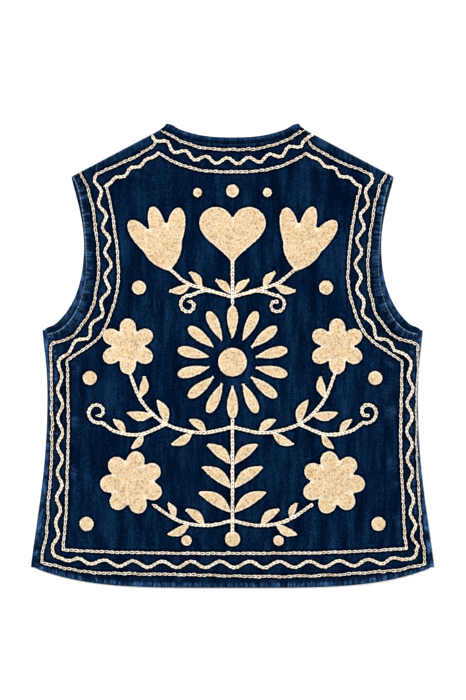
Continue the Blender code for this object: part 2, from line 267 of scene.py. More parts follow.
# the right half lies further out than the left, by this much at each height
rightShift = np.array([
    # y, outer chain, wave, inner chain
    (-243, 3.0, 7.2, 5.4), (-228, 3.6, 7.1, 5.2), (-207, 3.6, 7.0, 5.2), (-182, 3.5, 6.6, 6.0),
    (-144, 4.1, 6.2, 4.7), (-119, 4.3, 5.7, 4.7), (-87, 3.9, 5.7, 4.9), (-50, 3.7, 6.5, 5.4),
    (-18, 4.6, 6.4, 5.5),
    (3, 4.5, 4.2, 3.4), (14, 4.2, 1.2, 3.8), (39, -0.4, -0.4, 1.6), (70, 1.6, 0.6, 1.7),
    (127, 1.9, 1.9, 1.9), (227, 2.4, 2.4, 2.4),
])
# at the waist the right outer chain turns over the side and looks narrower; there its links are also painted
# paler, a painted highlight against the shade they fall in on the fold
turnedOver = np.array([(-245, 1.0), (-230, 0.9), (-210, 0.7), (-190, 0.85), (-165, 0.95), (-150, 0.70),
                       (-125, 0.58), (-50, 0.56), (-10, 0.58), (0, 0.60), (7, 1.0)])
# the wave's outward swings, in turn from the left armhole round to the right one
swings = [
    # x, y, waves counted from the start, height
    (-171.5, 229, -0.25, 2.8), (-172.5, 222, 0, 3.2), (-157, 131, 3, 3.5), (-174, 39, 6, 3.4),
    (-185.5, 27, 6.5, 4.9), (-196.5, 15.4, 7, 2.9), (-208, 4, 7.5, 3.0), (-218, -8, 8, 2.9),
    (-218, -114, 11, 2.9), (-219, -179, 13, 2.9), (-225, -241, 15, 1.8),
    (-226.6, -246.5, 15.25, 0.0), (-216.8, -254.9, 15.75, 0.0), (-209, -257, 16, 1.8),
    (-179.5, -260, 17, 2.8), (-143.5, -262, 18, 3.6),
    (2.5, -263, 22, 3.8), (153, -261, 26, 3.5), (189, -259, 27, 3.2), (217.5, -256, 28, 1.2),
    (223.5, -256.4, 28.25, 0.0), (231.8, -246.5, 28.75, 0.0), (230.5, -241, 29, 2.4),
    (229, -214, 30, 2.8), (226, -181, 31, 2.6),
    (224, -147, 32, 2.9), (223, -112, 33, 3.2), (224, -42, 35, 3.3), (224, -8, 36, 2.9),
    (206, 8.5, 36.5, 2.7), (198.5, 17, 37, 1.8), (186, 27, 37.5, 5.0), (175, 40, 38, 2.6),
    (159, 131, 41, 3.5), (174, 222, 44, 3.2), (173.5, 229, 44.25, 2.8),
]
shoulderSwings = [
    # the same, from the neck's corner to the armhole's
    (93.2, 254.9, 0.28, 0.4), (107.2, 246.6, 1, 1.1), (127, 235, 2, 2.2), (147.5, 222.5, 3, 2.1),
    (159.4, 214.2, 3.5, 0.2),
]


def toSide(points, line, direction):
    # the left half is the mirror of the right one, which is moved out a little
    p = np.array(points, float)
    if direction > 0:
        p[:, 0] += np.interp(p[:, 1], rightShift[:, 0], rightShift[:, line + 1])
    return p * (direction, 1.0)


def hemRun(line):
    if line == outerLine:
        return throughPoints(border["hemChain"])
    inset, power, left, right = border["hem"][line]
    height = inset - vest["halfLength"]
    x = np.linspace(left[0], right[0], 121)
    share = np.abs(x) / np.where(x < 0, -left[0], right[0])
    rise = np.where(x < 0, left[1], right[1]) - height
    return np.stack([x, height + rise * share ** power], -1)


def sideRun(line, kind, direction):
    # from the armhole's corner down to the hem's
    end = hemRun(line)[-1 if direction > 0 else 0]
    rows = [armLines[kind][0]] + [(row[line + 1], row[0]) for row in sideTable if row[0] > end[1] + 4]
    return throughPoints(np.vstack([toSide(rows, line, direction), end]))


def armRun(line, kind, direction):
    return throughPoints(toSide(armLines[kind], line, direction))


def neckRun(line):
    inset, power, (endX, endY) = border["neck"][line]
    middle = vest["halfLength"] - vest["neckDrop"] - inset
    x = np.linspace(-endX, endX, 81)
    return np.stack([x, middle + (endY - middle) * (np.abs(x) / endX) ** power], -1)


def wavePath():
    # the wave's middle, from the left shoulder round the hem to the right one
    down = armLines["wave"][::-1] + [(212.0, 2.2)] + [(row[2], row[0]) for row in sideTable[:-1]]
    left, right = border["waveCorners"]
    return throughPoints(np.vstack([toSide(down, waveLine, -1), left, hemRun(waveLine)[::10], right,
                                    toSide(down, waveLine, 1)[::-1]]))


def swung(line, table, outward):
    # swings to and fro across the line, furthest outwards at each whole number of waves
    fine = spaced(line, 1.0)
    at = arcLengths(fine)
    knots = np.array([nearestOn(fine, row[0], row[1])[1] for row in table])
    waves = np.interp(at, knots, [row[2] for row in table])
    heights = np.interp(at, knots, [row[3] for row in table])
    soft = np.hanning(9) / np.hanning(9).sum()
    smoothed = np.stack([np.convolve(np.pad(c, 4, mode="edge"), soft, mode="valid") for c in fine.T], -1)
    return offsetLine(smoothed, outward * heights * np.cos(2 * math.pi * waves))


def waved(line, pitch, height):
    count = max(1, round(arcLengths(line)[-1] / pitch))
    fine = spaced(line, 1.0)
    share = np.linspace(0.0, 1.0, len(fine))
    # the last swing is a flat one
    height = height * (1.0 - 0.8 * smooth((share - 0.90) / 0.05))
    return offsetLine(fine, -height * np.sin(2 * math.pi * count * share))


def borderLines():
    outer = [sideRun(outerLine, "outer", 1), hemRun(outerLine), neckRun(outerLine),
             sideRun(outerLine, "outer", -1)]
    inner = [hemRun(innerLine), neckRun(innerLine)]
    wave = [swung(wavePath(), swings, -1.0), waved(neckRun(waveLine), **border["neckWave"])]
    for direction in (-1, 1):
        outer.append(armRun(outerLine, "outer", direction))
        inner += [sideRun(innerLine, "inner", direction), armRun(innerLine, "inner", direction)]
        top = armRun(waveLine, "wave", direction)[-1:]
        outer.append(throughPoints(np.vstack([np.array(shoulderChain) * (direction, 1.0), top])))
    ends = np.array([neckRun(innerLine)[-1], armRun(innerLine, "inner", 1)[-1]])
    wave += bothSides(swung(ends, shoulderSwings, 1.0))
    return {"outer": outer, "inner": inner, "wave": wave}


def turned(points, degrees, centre=(0.0, 0.0)):
    return np.stack(rotated(*np.array(points, float).T, math.radians(degrees)), -1) + centre


def fullTurn(count):
    return np.linspace(0.0, 2 * math.pi, count, endpoint=False)


def circle(cx, cy, radius, count=40):
    a = fullTurn(count)
    return np.stack([cx + radius * np.cos(a), cy + radius * np.sin(a)], -1)


def petal(length, width, blunt):
    # from its foot at the origin along +Y, widest past the middle
    a = fullTurn(36)
    up = (1 - np.cos(a)) / 2
    return np.stack([width / 2 * np.sin(a) * up ** blunt, length * up], -1)


def leaf(length, width, bend):
    a = fullTurn(34)
    up = (1 - np.cos(a)) / 2
    across = width / 2 * np.sin(a) * (0.55 + 0.45 * np.sin(math.pi * up))
    return np.stack([across + bend * length * np.sin(math.pi * up), length * up], -1)


def heart(cx, cy, width, height):
    a = fullTurn(64)
    x = np.sin(a) ** 3
    y = (13 * np.cos(a) - 5 * np.cos(2 * a) - 2 * np.cos(3 * a) - np.cos(4 * a)) / 17
    return np.stack([cx + width / 2 * x, cy + height * (y + 0.12) / 1.7], -1)


def tulip(cx, cy, size, degrees):
    # a round cup with three points
    cup = petal(0.94 * size, 0.78 * size, 0.25)
    leftTip = turned(petal(1.08 * size, 0.40 * size, 0.5), 24)
    rightTip = turned(petal(1.08 * size, 0.40 * size, 0.5), -24)
    middle = petal(1.12 * size, 0.36 * size, 0.5)
    cup = np.stack([cup[:, 0], 0.82 * cup[:, 1]], -1)
    return [turned(part, degrees, (cx, cy)) for part in (cup, leftTip, rightTip, middle)]


def daisy(cx, cy, petals, inner, outer, width, start, blunt):
    shapes = []
    for angle in start + 360.0 * np.arange(petals) / petals:
        foot = turned([(0.0, inner)], angle, (cx, cy))[0]
        shapes.append(turned(petal(outer - inner, width, blunt), angle, foot))
    return shapes


def flipped(outline):
    return outline[::-1] * (-1.0, 1.0)


def spiral(cx, cy, radius, startAngle, turns, direction):
    t = np.linspace(0.0, 1.0, 40)
    a = math.radians(startAngle) + direction * 2 * math.pi * turns * t
    r = radius * (1.0 - 0.72 * t)
    return np.stack([cx + r * np.cos(a), cy + r * np.sin(a)], -1)


# the field is a symmetric tree of flowers, of which the right half is set out here: first the
# curved lines from the middle stem, and the curls at their ends
stemTable = {
    "tulip": [(0, 74), (30, 83), (58, 92), (80, 110)],
    "middle": [(0, -90), (40, -97), (84, -86), (114, -58), (131, -18)],
    "side": [(84, -86), (116, -99), (146, -96), (165, -84)],
    "lower": [(0, -208), (34, -214), (68, -208), (100, -188)],
    "upperCurl": [(14, 78), (34, 82), (52, 77)],
}
curlTable = [
    # centre x, centre y, radius, start angle, turns, direction
    (170, -71, 14, -112, 1.1, 1), (55, 64, 12.5, 104, 1.1, -1),
]
# leaves: stem, share of its length, side (1 to its left), length, width
leafTable = [
    ("tulip", 0.46, 1, 25, 10), ("tulip", 0.62, -1, 28, 10.5),
    ("middle", 0.20, 1, 27, 11), ("middle", 0.30, -1, 31, 11.5), ("middle", 0.50, 1, 33, 12),
    ("middle", 0.62, -1, 33, 12), ("middle", 0.78, 1, 28, 11),
    ("side", 0.36, -1, 24, 9.5), ("side", 0.62, 1, 24, 9.5),
    ("lower", 0.34, 1, 31, 11.5), ("lower", 0.52, -1, 30, 11), ("lower", 0.70, 1, 22, 9),
]
leafPairs = [
    # foot y on the middle stem, lean, length, width
    (-136, 50, 38, 14), (-166, 54, 44, 15), (-197, 58, 47, 15.5), (78, 46, 26, 10),
]
dotTable = [(118, 86, 8.8), (180, -28, 8.8), (184, -212, 8.8), (0, 208, 8.0), (0, -231, 9.5),
            (58, -233, 6.5), (44, 206, 5.5)]


def leafOn(stem, share, turn, length, width):
    line = throughPoints(stemTable[stem])
    foot, ahead = along(line, [share, share + 0.02])
    lean = math.degrees(math.atan2(ahead[1] - foot[1], ahead[0] - foot[0])) - 90.0
    outline = leaf(length, width, -0.10 * turn)
    return turned(outline, lean + 40.0 * turn, foot)


def fieldShapes():
    sideTulip = tulip(80, 108, 74, -15)
    heartAndTulips = [[heart(0, 152, 84, 74)], sideTulip, [flipped(shape) for shape in sideTulip]]
    rosette = [[shape] for shape in daisy(0, -8, 14, 30, 71, 17.5, 0.0, 0.45)] + [[circle(0, -8, 18)]]
    flowers = [[circle(132, 12, 19)] + daisy(132, 12, 6, 5, 35, 23.5, 0.0, 0.24),
               [circle(127, -160, 24)] + daisy(127, -160, 7, 8, 40, 26.0, 10.0, 0.24)]
    flowers += [[flipped(shape) for shape in flower] for flower in flowers]
    leaves = [leafOn(*row) for row in leafTable]
    leaves += [turned(leaf(length, width, -0.08), -lean, (2.5, footY))
               for footY, lean, length, width in leafPairs]
    leaves += [flipped(shape) for shape in leaves]
    dots = [circle(x * half, y, radius, 28) for x, y, radius in dotTable
            for half in ((1, -1) if x else (1,))]
    return {"fillHeartAndTulips": heartAndTulips, "fillRosette": rosette, "fillFlowers": flowers,
            "fillLeaves": [[shape] for shape in leaves], "fillDots": [[shape] for shape in dots]}


def stemLines():
    stems = [np.array([(0.0, -224.0), (0.0, -81.0)]), np.array([(0.0, 64.0), (0.0, 118.0)])]
    for points in stemTable.values():
        stems += bothSides(throughPoints(points))
    for curl in curlTable:
        stems += bothSides(spiral(*curl))
    return stems


def deepest(shapes, x, y):
    # how deep a point lies inside whichever outline holds it best
    depth = np.full(np.shape(x), -1e9)
    for outline in shapes:
        closed = np.vstack([outline, outline[:1]])
        distance = nearestOn(closed, x, y)[0]
        depth = np.maximum(depth, np.where(inside(outline, x, y), distance, -distance))
    return depth


borderRuns = borderLines()
fieldRuns = stemLines()
field = fieldShapes()


def nearTree(lines):
    points = np.vstack([spaced(line, 1.0) for line in lines])
    tree = KDTree(len(points))
    for number, (x, y) in enumerate(points):
        tree.insert((x, y, 0.0), number)
    tree.balance()
    return tree


# what is stitched on, as points along its lines, and its half-width
stitched = [(nearTree([line for lines in borderRuns.values() for line in lines]), 2.2),
            (nearTree(fieldRuns), 2.6),
            (nearTree([np.vstack([shape, shape[:1]]) for motifs in field.values()
                       for shapes in motifs for shape in shapes]), 0.7)]


def fromStitches(x, y):
    # distance to the edge of the nearest stitches
    places = list(zip(np.ravel(x), np.ravel(y)))
    off = [[tree.find((px, py, 0.0))[2] - half for px, py in places] for tree, half in stitched]
    return np.array(off).min(axis=0).reshape(np.shape(x))


# soft creases in the back, and troughs, which have a rise below zero
creases = [
    # x, y, length, width, rise, lean in degrees
    (-168, -20, 120, 22, -0.55, 4), (-150, -95, 95, 16, 0.50, -6), (176, -118, 130, 20, -0.60, -3),
    (158, 20, 88, 18, 0.55, 8), (-60, -180, 70, 24, -0.45, -10), (72, -226, 64, 18, 0.40, 12),
    (-118, 150, 74, 17, -0.50, 14), (108, 118, 92, 20, -0.45, -9), (-20, 205, 58, 26, 0.35, 80),
    (28, 60, 110, 19, 0.40, 3), (-86, 40, 84, 15, 0.45, -4), (196, -215, 60, 16, 0.60, -14),
    (-206, -190, 76, 15, 0.65, 10), (150, 190, 52, 16, 0.50, -38), (-152, 196, 48, 15, -0.45, 36),
    (4, -120, 96, 23, -0.40, -5), (-196, 8, 46, 14, -0.60, 52), (198, 14, 50, 15, -0.55, -49),
    (-226, -120, 90, 9, 0.45, 2), (226, -60, 96, 10, 0.40, -2), (118, -60, 80, 16, 0.35, 6),
]
# turned edges: how far the pull of the topstitching reaches in, its pitch and height, and where
# the stitching lies
puckers = {
    "hem": {"reach": 11.0, "pitch": 8.4, "height": 0.42, "stitch": 9.0},
    "armhole": {"reach": 9.5, "pitch": 6.1, "height": 0.34, "stitch": 6.8},
    "seam": {"reach": 8.0, "pitch": 13.0, "height": 0.30, "stitch": 5.2},
}
# depth and width: of the groove along the stitching, as a share of the pucker, of the rounded
# edge, and of the neck edge that slips under the binding
sinks = {"groove": (0.55, 1.9), "edge": (0.75, 1.7), "neck": (0.9, 3.0)}


def ripple(where, pitch, seed):
    # -1 to 1, of uneven pitch, as a topstitched edge pulls up
    drift = 1.9 * np.sin(where / 31.0 + seed) + 1.2 * np.sin(where / 12.7 + 2.1 * seed)
    size = 0.70 + 0.30 * np.sin(where / 19.0 + 1.3 * seed)
    return size * np.sin(2 * math.pi * where / pitch + drift)


def creaseHeight(x, y):
    height = np.zeros(np.shape(x))
    for cx, cy, length, width, rise, lean in creases:
        across, down = rotated(x - cx, y - cy, -math.radians(lean))
        height += rise * np.exp(-(across / width * 1.6) ** 2 - (down / length * 1.6) ** 2)
    sway = 0.16 * np.sin(x / 11.0 + 0.8 * np.sin(y / 70.0)) * np.sin(x / 37.0 + y / 90.0 + 1.0)
    return height + sway


def edgeFacts(x, y):
    # distances from the back's edges, and places along them
    ax = np.abs(x)
    fromArm, armAt = nearestOn(backArm, ax, y)
    fromSeam, seamAt = nearestOn(seam, ax, y)
    fromNeck, neckAt = nearestOn(panelNeck, ax, y)
    return {"arm": fromArm, "armAt": armAt, "seam": fromSeam, "seamAt": seamAt,
            "neck": fromNeck, "neckAt": neckAt, "hem": np.maximum(y - hemY(x), 0.0), "hemAt": ax,
            "shoulder": np.maximum(belowShoulder(x, y), 0.0), "shoulderAt": ax}


def frontNeckHalf(y):
    line = frontNeckLine(0.0)
    return np.interp(y, line[:, 1], line[:, 0], left=0.0, right=vest["neckHalf"])


def restHeight(x, y, facts):
    # the slow shape of the back's upper face, before creases and puckers
    ax = np.abs(x)
    near = np.minimum.reduce([facts["arm"], facts["seam"], facts["hem"], facts["shoulder"]])
    top = mix(lie["edgeTop"], lie["fieldTop"], smooth(near / lie["sinkReach"]))
    depth = np.minimum.reduce([frontNeckHalf(y) - ax, facts["shoulder"],
                               y - (vest["halfLength"] - vest["frontNeckDepth"])])
    top = mix(top, lie["neckTop"], smooth(depth / lie["neckSinkReach"]))
    around = np.hypot(ax - vest["underarm"][0], y - vest["underarm"][1] - lie["liftReach"])
    lift = smooth(1.0 - around / (lie["liftSpread"] * lie["liftReach"]))
    lift = lift * smooth(1.0 - facts["arm"] / lie["liftReach"])
    return top + lie["armholeLift"] * lift


def puckerHeight(x, y, facts):
    height = np.zeros(np.shape(x))
    seedSide = np.where(x > 0.0, 0.6, 2.2)    # so that the two sides differ
    (grooveDepth, grooveWidth), (edgeDepth, edgeWidth), (neckDepth, neckWidth) = sinks.values()
    places = (("hem", facts["hem"], x), ("armhole", facts["arm"], facts["armAt"]),
              ("seam", facts["seam"], facts["seamAt"]))
    for name, distance, where in places:
        p = puckers[name]
        reach = smooth(1.0 - distance / p["reach"])
        height += p["height"] * reach * ripple(where, p["pitch"], seedSide)
        height -= grooveDepth * p["height"] * bump((distance - p["stitch"]) / grooveWidth)
        height -= edgeDepth * smooth(1.0 - distance / edgeWidth)
    return height - neckDepth * smooth(1.0 - facts["neck"] / neckWidth)


def shoulderDrop(below):
    # how far the back turns down, and the fronts up, over the shoulder fold
    r = lie["foldRadius"]
    reach = np.clip(r - below, 0.0, r)
    return (r - np.sqrt(np.maximum(r * r - reach * reach, 0.0))) * lie["shoulderTurn"]


def besideNeck(x):
    # 0 across the neck, 1 on the shoulders
    return smooth((np.abs(x) - vest["neckHalf"]) / lie["shoulderReach"])


def backHeight(x, y):
    facts = edgeFacts(x, y)
    calm = smooth(np.minimum(facts["shoulder"], facts["hem"]) / lie["shoulderReach"])
    top = restHeight(x, y, facts) + creaseHeight(x, y) * calm + puckerHeight(x, y, facts)
    top = mix(top, top - shoulderDrop(facts["shoulder"]), besideNeck(x))
    return np.maximum(top, vest["cloth"] + 0.1), facts


print("cloth: outlines ready")

# heights of the back on a fine raster, so that what is sewn on can look them up
raster = {"left": -262.0, "bottom": -300.0, "step": 1.0, "columns": 525, "rows": 600}
rasterX, rasterY = np.meshgrid(raster["left"] + raster["step"] * np.arange(raster["columns"]),
                               raster["bottom"] + raster["step"] * np.arange(raster["rows"]))
rasterHeight = backHeight(rasterX, rasterY)[0]
# beyond the seam lies the front's turned strip, rounded down at the side
beyond = (np.abs(rasterX) - np.interp(rasterY, side[:, 1], side[:, 0])) / lie["foldRadius"] + 1.0
strip = lie["foldRadius"] * (1.0 + np.sqrt(1.0 - np.clip(beyond, 0.0, 1.0) ** 2))
onStrip = (beyond > 1.0 - vest["seamInset"] / lie["foldRadius"]) & (rasterY < vest["underarm"][1])
rasterHeight = np.where(onStrip, strip, rasterHeight)


def clothTop(x, y):
    u = np.clip((x - raster["left"]) / raster["step"], 0, raster["columns"] - 1.001)
    v = np.clip((y - raster["bottom"]) / raster["step"], 0, raster["rows"] - 1.001)
    i, j = u.astype(int), v.astype(int)
    fu, fv = u - i, v - j
    low = mix(rasterHeight[j, i], rasterHeight[j, i + 1], fu)
    high = mix(rasterHeight[j + 1, i], rasterHeight[j + 1, i + 1], fu)
    return mix(low, high, fv)


class Look:
    # a material and the steps of its node tree, whose inputs are sockets, numbers or colours
    def __init__(self, name):
        self.material = bpy.data.materials.new(name)
        self.material.use_nodes = True
        self.nodes, self.links = self.material.node_tree.nodes, self.material.node_tree.links
        self.shader = self.nodes["Principled BSDF"]

    def node(self, kind, inputs, **settings):
        node = self.nodes.new(kind)
        for name, value in settings.items():
            setattr(node, name, value)
        for key, value in inputs.items():
            if isinstance(value, bpy.types.NodeSocket):
                self.links.new(value, node.inputs[key])
            else:
                node.inputs[key].default_value = value
        return node

    def place(self, scale, turn=0.0):
        source = self.node("ShaderNodeTexCoord", {}).outputs["Object"]
        return self.stretched(source, scale, turn)

    def stretched(self, source, scale, turn=0.0):
        inputs = {"Vector": source, "Scale": scale, "Rotation": (0.0, 0.0, turn)}
        return self.node("ShaderNodeMapping", inputs).outputs["Vector"]

    def noise(self, place, detail, rough):
        inputs = {"Vector": place, "Scale": 1.0, "Detail": detail, "Roughness": rough}
        return self.node("ShaderNodeTexNoise", inputs).outputs["Fac"]

    def ramp(self, source, low, high):
        inputs = {"Value": source, "From Min": low, "From Max": high}
        return self.node("ShaderNodeMapRange", inputs).outputs["Result"]

    def math(self, operation, *values):
        return self.node("ShaderNodeMath", dict(enumerate(values)), operation=operation).outputs["Value"]

    def times(self, a, b):
        return self.math("MULTIPLY", a, b)

    def plus(self, a, b):
        return self.math("ADD", a, b)

    def blend(self, share, a, b):
        a, b = ((*colour, 1.0) if isinstance(colour, tuple) else colour for colour in (a, b))
        return self.node("ShaderNodeMix", {0: share, 6: a, 7: b}, data_type="RGBA").outputs[2]

    def painted(self, name):
        return self.node("ShaderNodeAttribute", {}, attribute_name=name).outputs["Fac"]

    def uvMap(self, name):
        return self.node("ShaderNodeUVMap", {}, uv_map=name).outputs["UV"]

    def relief(self, height, distance):
        inputs = {"Height": height, "Distance": distance, "Strength": 0.6}
        self.links.new(self.node("ShaderNodeBump", inputs).outputs["Normal"], self.shader.inputs["Normal"])

    def finished(self, colour, finish):
        self.links.new(colour, self.shader.inputs["Base Color"])
        for name, value in finish.items():
            self.shader.inputs[name].default_value = value
        return self.material


denim = {
    "deep": (0.0001, 0.0025, 0.0098), "mid": (0.0005, 0.0063, 0.0235), "light": (0.0046, 0.0220, 0.0610),
    # the darkest blue of the next row is painted shade, beside stitches and in troughs; its pale blue is the
    # edge line, partly worn and partly a painted highlight
    "paintedShade": (0.0001, 0.0013, 0.0055), "worn": (0.0400, 0.1200, 0.2800), "pale": (0.2700, 0.4300, 0.6700),
    "finish": {"Roughness": 0.92, "Sheen Weight": 0.02, "Sheen Roughness": 0.45,
               "Sheen Tint": (0.02, 0.30, 1.0, 1.0), "Specular IOR Level": 0.0},
    # patterns per metre, across and along the warp, and how much each counts
    "cloud": (22.0, 7.0, 0.9), "streak": (75.0, 12.0, 2.30), "slub": (330.0, 34.0, 0.9),
    "grain": (560.0, 640.0, 2.25), "twillPitch": 1100.0, "twillTurn": 1.05,
    # ticks and blotches of the turned edges: along the edge and in from it, per metre
    "tick": (320.0, 60.0, 1.0), "blotch": (70.0, 110.0, 1.0), "edgeLine": (0.0008, 0.0021),
    # painted shadow of the raised stitches on the cloth beside them, which also stands for cloth left
    # unfaded there: the distances of full and of no darkening, and how much
    "shade": (0.0013, 0.0029, 0.93), "relief": 0.00012,
}


def denimMaterial(name, shift):
    # wear, the rippling and rim are painted on the mesh: how rubbed an edge is; how rippled, which also sets
    # painted shade in the ripples' troughs; and how pale an edge line is, partly worn and partly a painted
    # highlight; near is how far off the closest stitched line is, in metres, which sets the painted shadow
    # beside stitches
    look = Look(name)
    patterns = {key: look.noise(look.place((*denim[key][:2], 1.0)), 3.0, 0.6)
                for key in ("cloud", "streak", "slub")}
    fine, coarse = denim["grain"][:2]
    grain = patterns["grain"] = look.noise(look.place((fine, coarse, coarse)), 2.0, 0.55)
    # each pattern swings about a half, as strongly as its weight
    tone = 0.5 - 0.5 * sum(denim[key][2] for key in patterns)
    for key, source in patterns.items():
        tone = look.math("MULTIPLY_ADD", source, denim[key][2], tone)
    tone = look.plus(tone, shift)
    colour = look.blend(look.ramp(tone, 0.0, 0.5), denim["deep"], denim["mid"])
    colour = look.blend(look.ramp(tone, 0.5, 1.15), colour, denim["light"])

    edge = look.uvMap("edge")
    tick, blotch = (look.ramp(look.noise(look.stretched(edge, denim[key]), 2.0, 0.6), 0.44, 0.64)
                    for key in ("tick", "blotch"))
    ticks = look.times(tick, look.plus(look.times(blotch, 0.50), 0.70))
    wear, rippleShade, rim, near = (look.painted(key) for key in ("wear", "rippleShade", "rim", "near"))
    rubbed = look.times(look.plus(look.plus(ticks, look.times(blotch, 0.08)), 0.03), wear)
    rubbed = look.times(rubbed, look.ramp(grain, 0.15, 0.55))
    # painted shadow beside the stitches, mixed towards the painted shade's dark blue
    full, none, most = denim["shade"]
    shaded = look.times(look.ramp(near, none, full), most)
    # painted shade in the ripples' troughs and grooves
    troughShade = look.times(rippleShade, look.math("SUBTRACT", 1.0, ticks))
    # the pale edge line, partly worn and partly a painted highlight on the rounded edge, notched by the
    # ticks
    away = look.node("ShaderNodeSeparateXYZ", {"Vector": edge}).outputs["Y"]
    notched = look.plus(look.times(tick, 0.85), 0.12)
    line = look.times(look.ramp(away, *denim["edgeLine"][::-1]), look.times(rim, notched))
    for share, over in ((rubbed, "worn"), (shaded, "paintedShade"), (troughShade, "paintedShade"), (line, "pale")):
        colour = look.blend(share, colour, denim[over])

    twill = look.node("ShaderNodeTexWave", {
        "Vector": look.place((denim["twillPitch"],) * 3, denim["twillTurn"]),
        "Scale": 1.0, "Distortion": 1.2, "Detail": 1.0})
    weave = look.plus(look.times(twill.outputs["Fac"], 0.6), look.times(grain, 1.1))
    look.relief(look.plus(weave, look.times(look.times(rippleShade, ticks), 5.0)), denim["relief"])
    return look.finished(colour, denim["finish"])


yarn = {
    "cream": (0.94, 0.765, 0.487), "pale": (0.98, 0.92, 0.78), "tan": (0.48, 0.295, 0.135),
    "finish": {"Roughness": 0.80, "Sheen Weight": 0.12, "Specular IOR Level": 0.15},
}
chalk = {
    "cream": (0.88, 0.79, 0.655), "pale": (0.96, 0.925, 0.85), "tan": (0.48, 0.33, 0.19),
    "finish": {"Roughness": 0.80, "Sheen Weight": 0.10, "Specular IOR Level": 0.12},
}
thread = {
    "cream": (0.0040, 0.0230, 0.0650), "pale": (0.0130, 0.0500, 0.1150), "tan": (0.0010, 0.0080, 0.0270),
    "finish": {"Roughness": 0.85, "Sheen Weight": 0.0, "Specular IOR Level": 0.03},
}
# shared by all yarns: fuzz and clouds per metre, turns of the ply in a stitch, and relief
spun = {"fuzz": 1300.0, "cloud": 95.0, "plyTurns": 9.0, "relief": 0.00016}


def yarnMaterial(name, kind):
    # tone is a number for each stitch: low is shaded tan yarn, high is bleached
    look = Look(name)
    tone = look.painted("tone")
    fuzz = look.ramp(look.noise(look.place((spun["fuzz"],) * 3), 3.0, 0.7), 0.30, 0.75)
    cloud = look.ramp(look.noise(look.place((spun["cloud"],) * 3), 2.0, 0.5), 0.35, 0.70)
    colour = look.blend(look.ramp(tone, 0.0, 0.5), kind["tan"], kind["cream"])
    shade = look.times(look.math("SUBTRACT", 1.0, fuzz), 0.22)
    for share, over in ((look.ramp(tone, 0.5, 1.0), "pale"), (look.times(cloud, 0.15), "pale"),
                        (shade, "tan")):
        colour = look.blend(share, colour, kind[over])
    ply = look.node("ShaderNodeTexWave", {"Vector": look.uvMap("strand"), "Scale": 1.0,
                                          "Distortion": 0.4, "Detail": 0.0}, bands_direction="DIAGONAL")
    look.relief(look.plus(ply.outputs["Fac"], look.times(fuzz, 0.7)), spun["relief"])
    return look.finished(colour, {"Sheen Roughness": 0.5, **kind["finish"]})


clothIndigo = denimMaterial("washedIndigo", 0.0)
bindingIndigo = denimMaterial("fadedIndigo", 0.20)
creamYarn = yarnMaterial("creamYarn", yarn)
chalkYarn = yarnMaterial("chalkYarn", chalk)
threadIndigo = yarnMaterial("indigoThread", thread)


def newPiece(name, material, points, faces, painted, mapName, uvs=None, wall=0.0):
    # points are in millimetres, and painted holds a value for each point under each name
    mesh = bpy.data.meshes.new(name)
    mesh.from_pydata((points * mm).tolist(), [], faces.tolist())
    layer = mesh.uv_layers.new(name=mapName)
    if uvs is not None:
        layer.data.foreach_set("uv", uvs.reshape(-1).astype(np.float32))
    for key, amounts in painted.items():
        values = mesh.attributes.new(key, "FLOAT", "POINT")
        values.data.foreach_set("value", amounts.astype(np.float32))
    piece = bpy.data.objects.new(name, mesh)
    bpy.context.scene.collection.objects.link(piece)
    if wall:
        bpy.ops.object.select_all(action="DESELECT")
        piece.select_set(True)
        bpy.context.view_layer.objects.active = piece
        solid = piece.modifiers.new("wall", "SOLIDIFY")
        solid.thickness = wall * mm
        solid.offset = -1.0
        bpy.ops.object.modifier_apply(modifier=solid.name)
    piece.data.materials.append(material)
    for polygon in piece.data.polygons:
        polygon.use_smooth = True
    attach(piece, "root")
    return piece


def gridFaces(rows, columns, use):
    # the faces between the points of a grid, of which all four corners are in use
    index = np.arange(rows * columns).reshape(rows, columns)
    corners = ((slice(-1), slice(-1)), (slice(-1), slice(1, None)),
               (slice(1, None), slice(1, None)), (slice(1, None), slice(-1)))
    whole = np.all([use[corner] for corner in corners], axis=0)
    return np.stack([index[corner] for corner in corners], -1)[whole]


def clothGrid(name, material, points, looks, edges, thickness, keep=None, flip=False):
    # points is rows x columns x 3 in millimetres, on the cloth's outer face
    # looks holds wear, tuck, rim and near for each point; edges is a list of (how near an edge is,
    # the place along it, the distance from it), of which each face takes the nearest as its edge map
    shape = points.shape[:2]
    quads = gridFaces(*shape, np.ones(shape, bool) if keep is None else keep)
    if flip:
        quads = quads[:, ::-1]
    facts = np.array([[np.broadcast_to(fact, shape).reshape(-1)[quads] for fact in edge] for edge in edges])
    nearest = facts[:, 0].mean(axis=2).argmin(axis=0)
    face = np.arange(len(quads))
    edgeMap = np.stack([facts[nearest, 1, face], facts[nearest, 2, face]], -1) * mm
    used, quads = np.unique(quads, return_inverse=True)
    painted = {key: np.clip(np.broadcast_to(amount, shape).reshape(-1)[used], 0.0, 2.0)
               for key, amount in looks.items()}
    return newPiece(name, material, points.reshape(-1, 3)[used], quads.reshape(-1, 4), painted,
                    "edge", edgeMap, thickness)


def joinedLine(first, second, share, t):
    t = np.asarray(t, float)
    low = along(first, t / share)
    high = along(second, (t - share) / (1.0 - share))
    return np.where((t <= share)[:, None], low, high)


def patch(bottom, top, outer, u, v):
    # straight columns from bottom to top, drawn in towards the side by the outer curve
    v, pull = v[:, None, None], (u ** 2.0)[None, :, None]
    return mix(bottom[None], top[None], v) + pull * (outer[:, None] - mix(bottom[-1], top[-1], v))


def edgeDense(count, squeeze):
    # 0 to 1, closer together at both ends
    s = np.linspace(0.0, 1.0, count)
    return s - squeeze * np.sin(2 * math.pi * s) / (2 * math.pi)


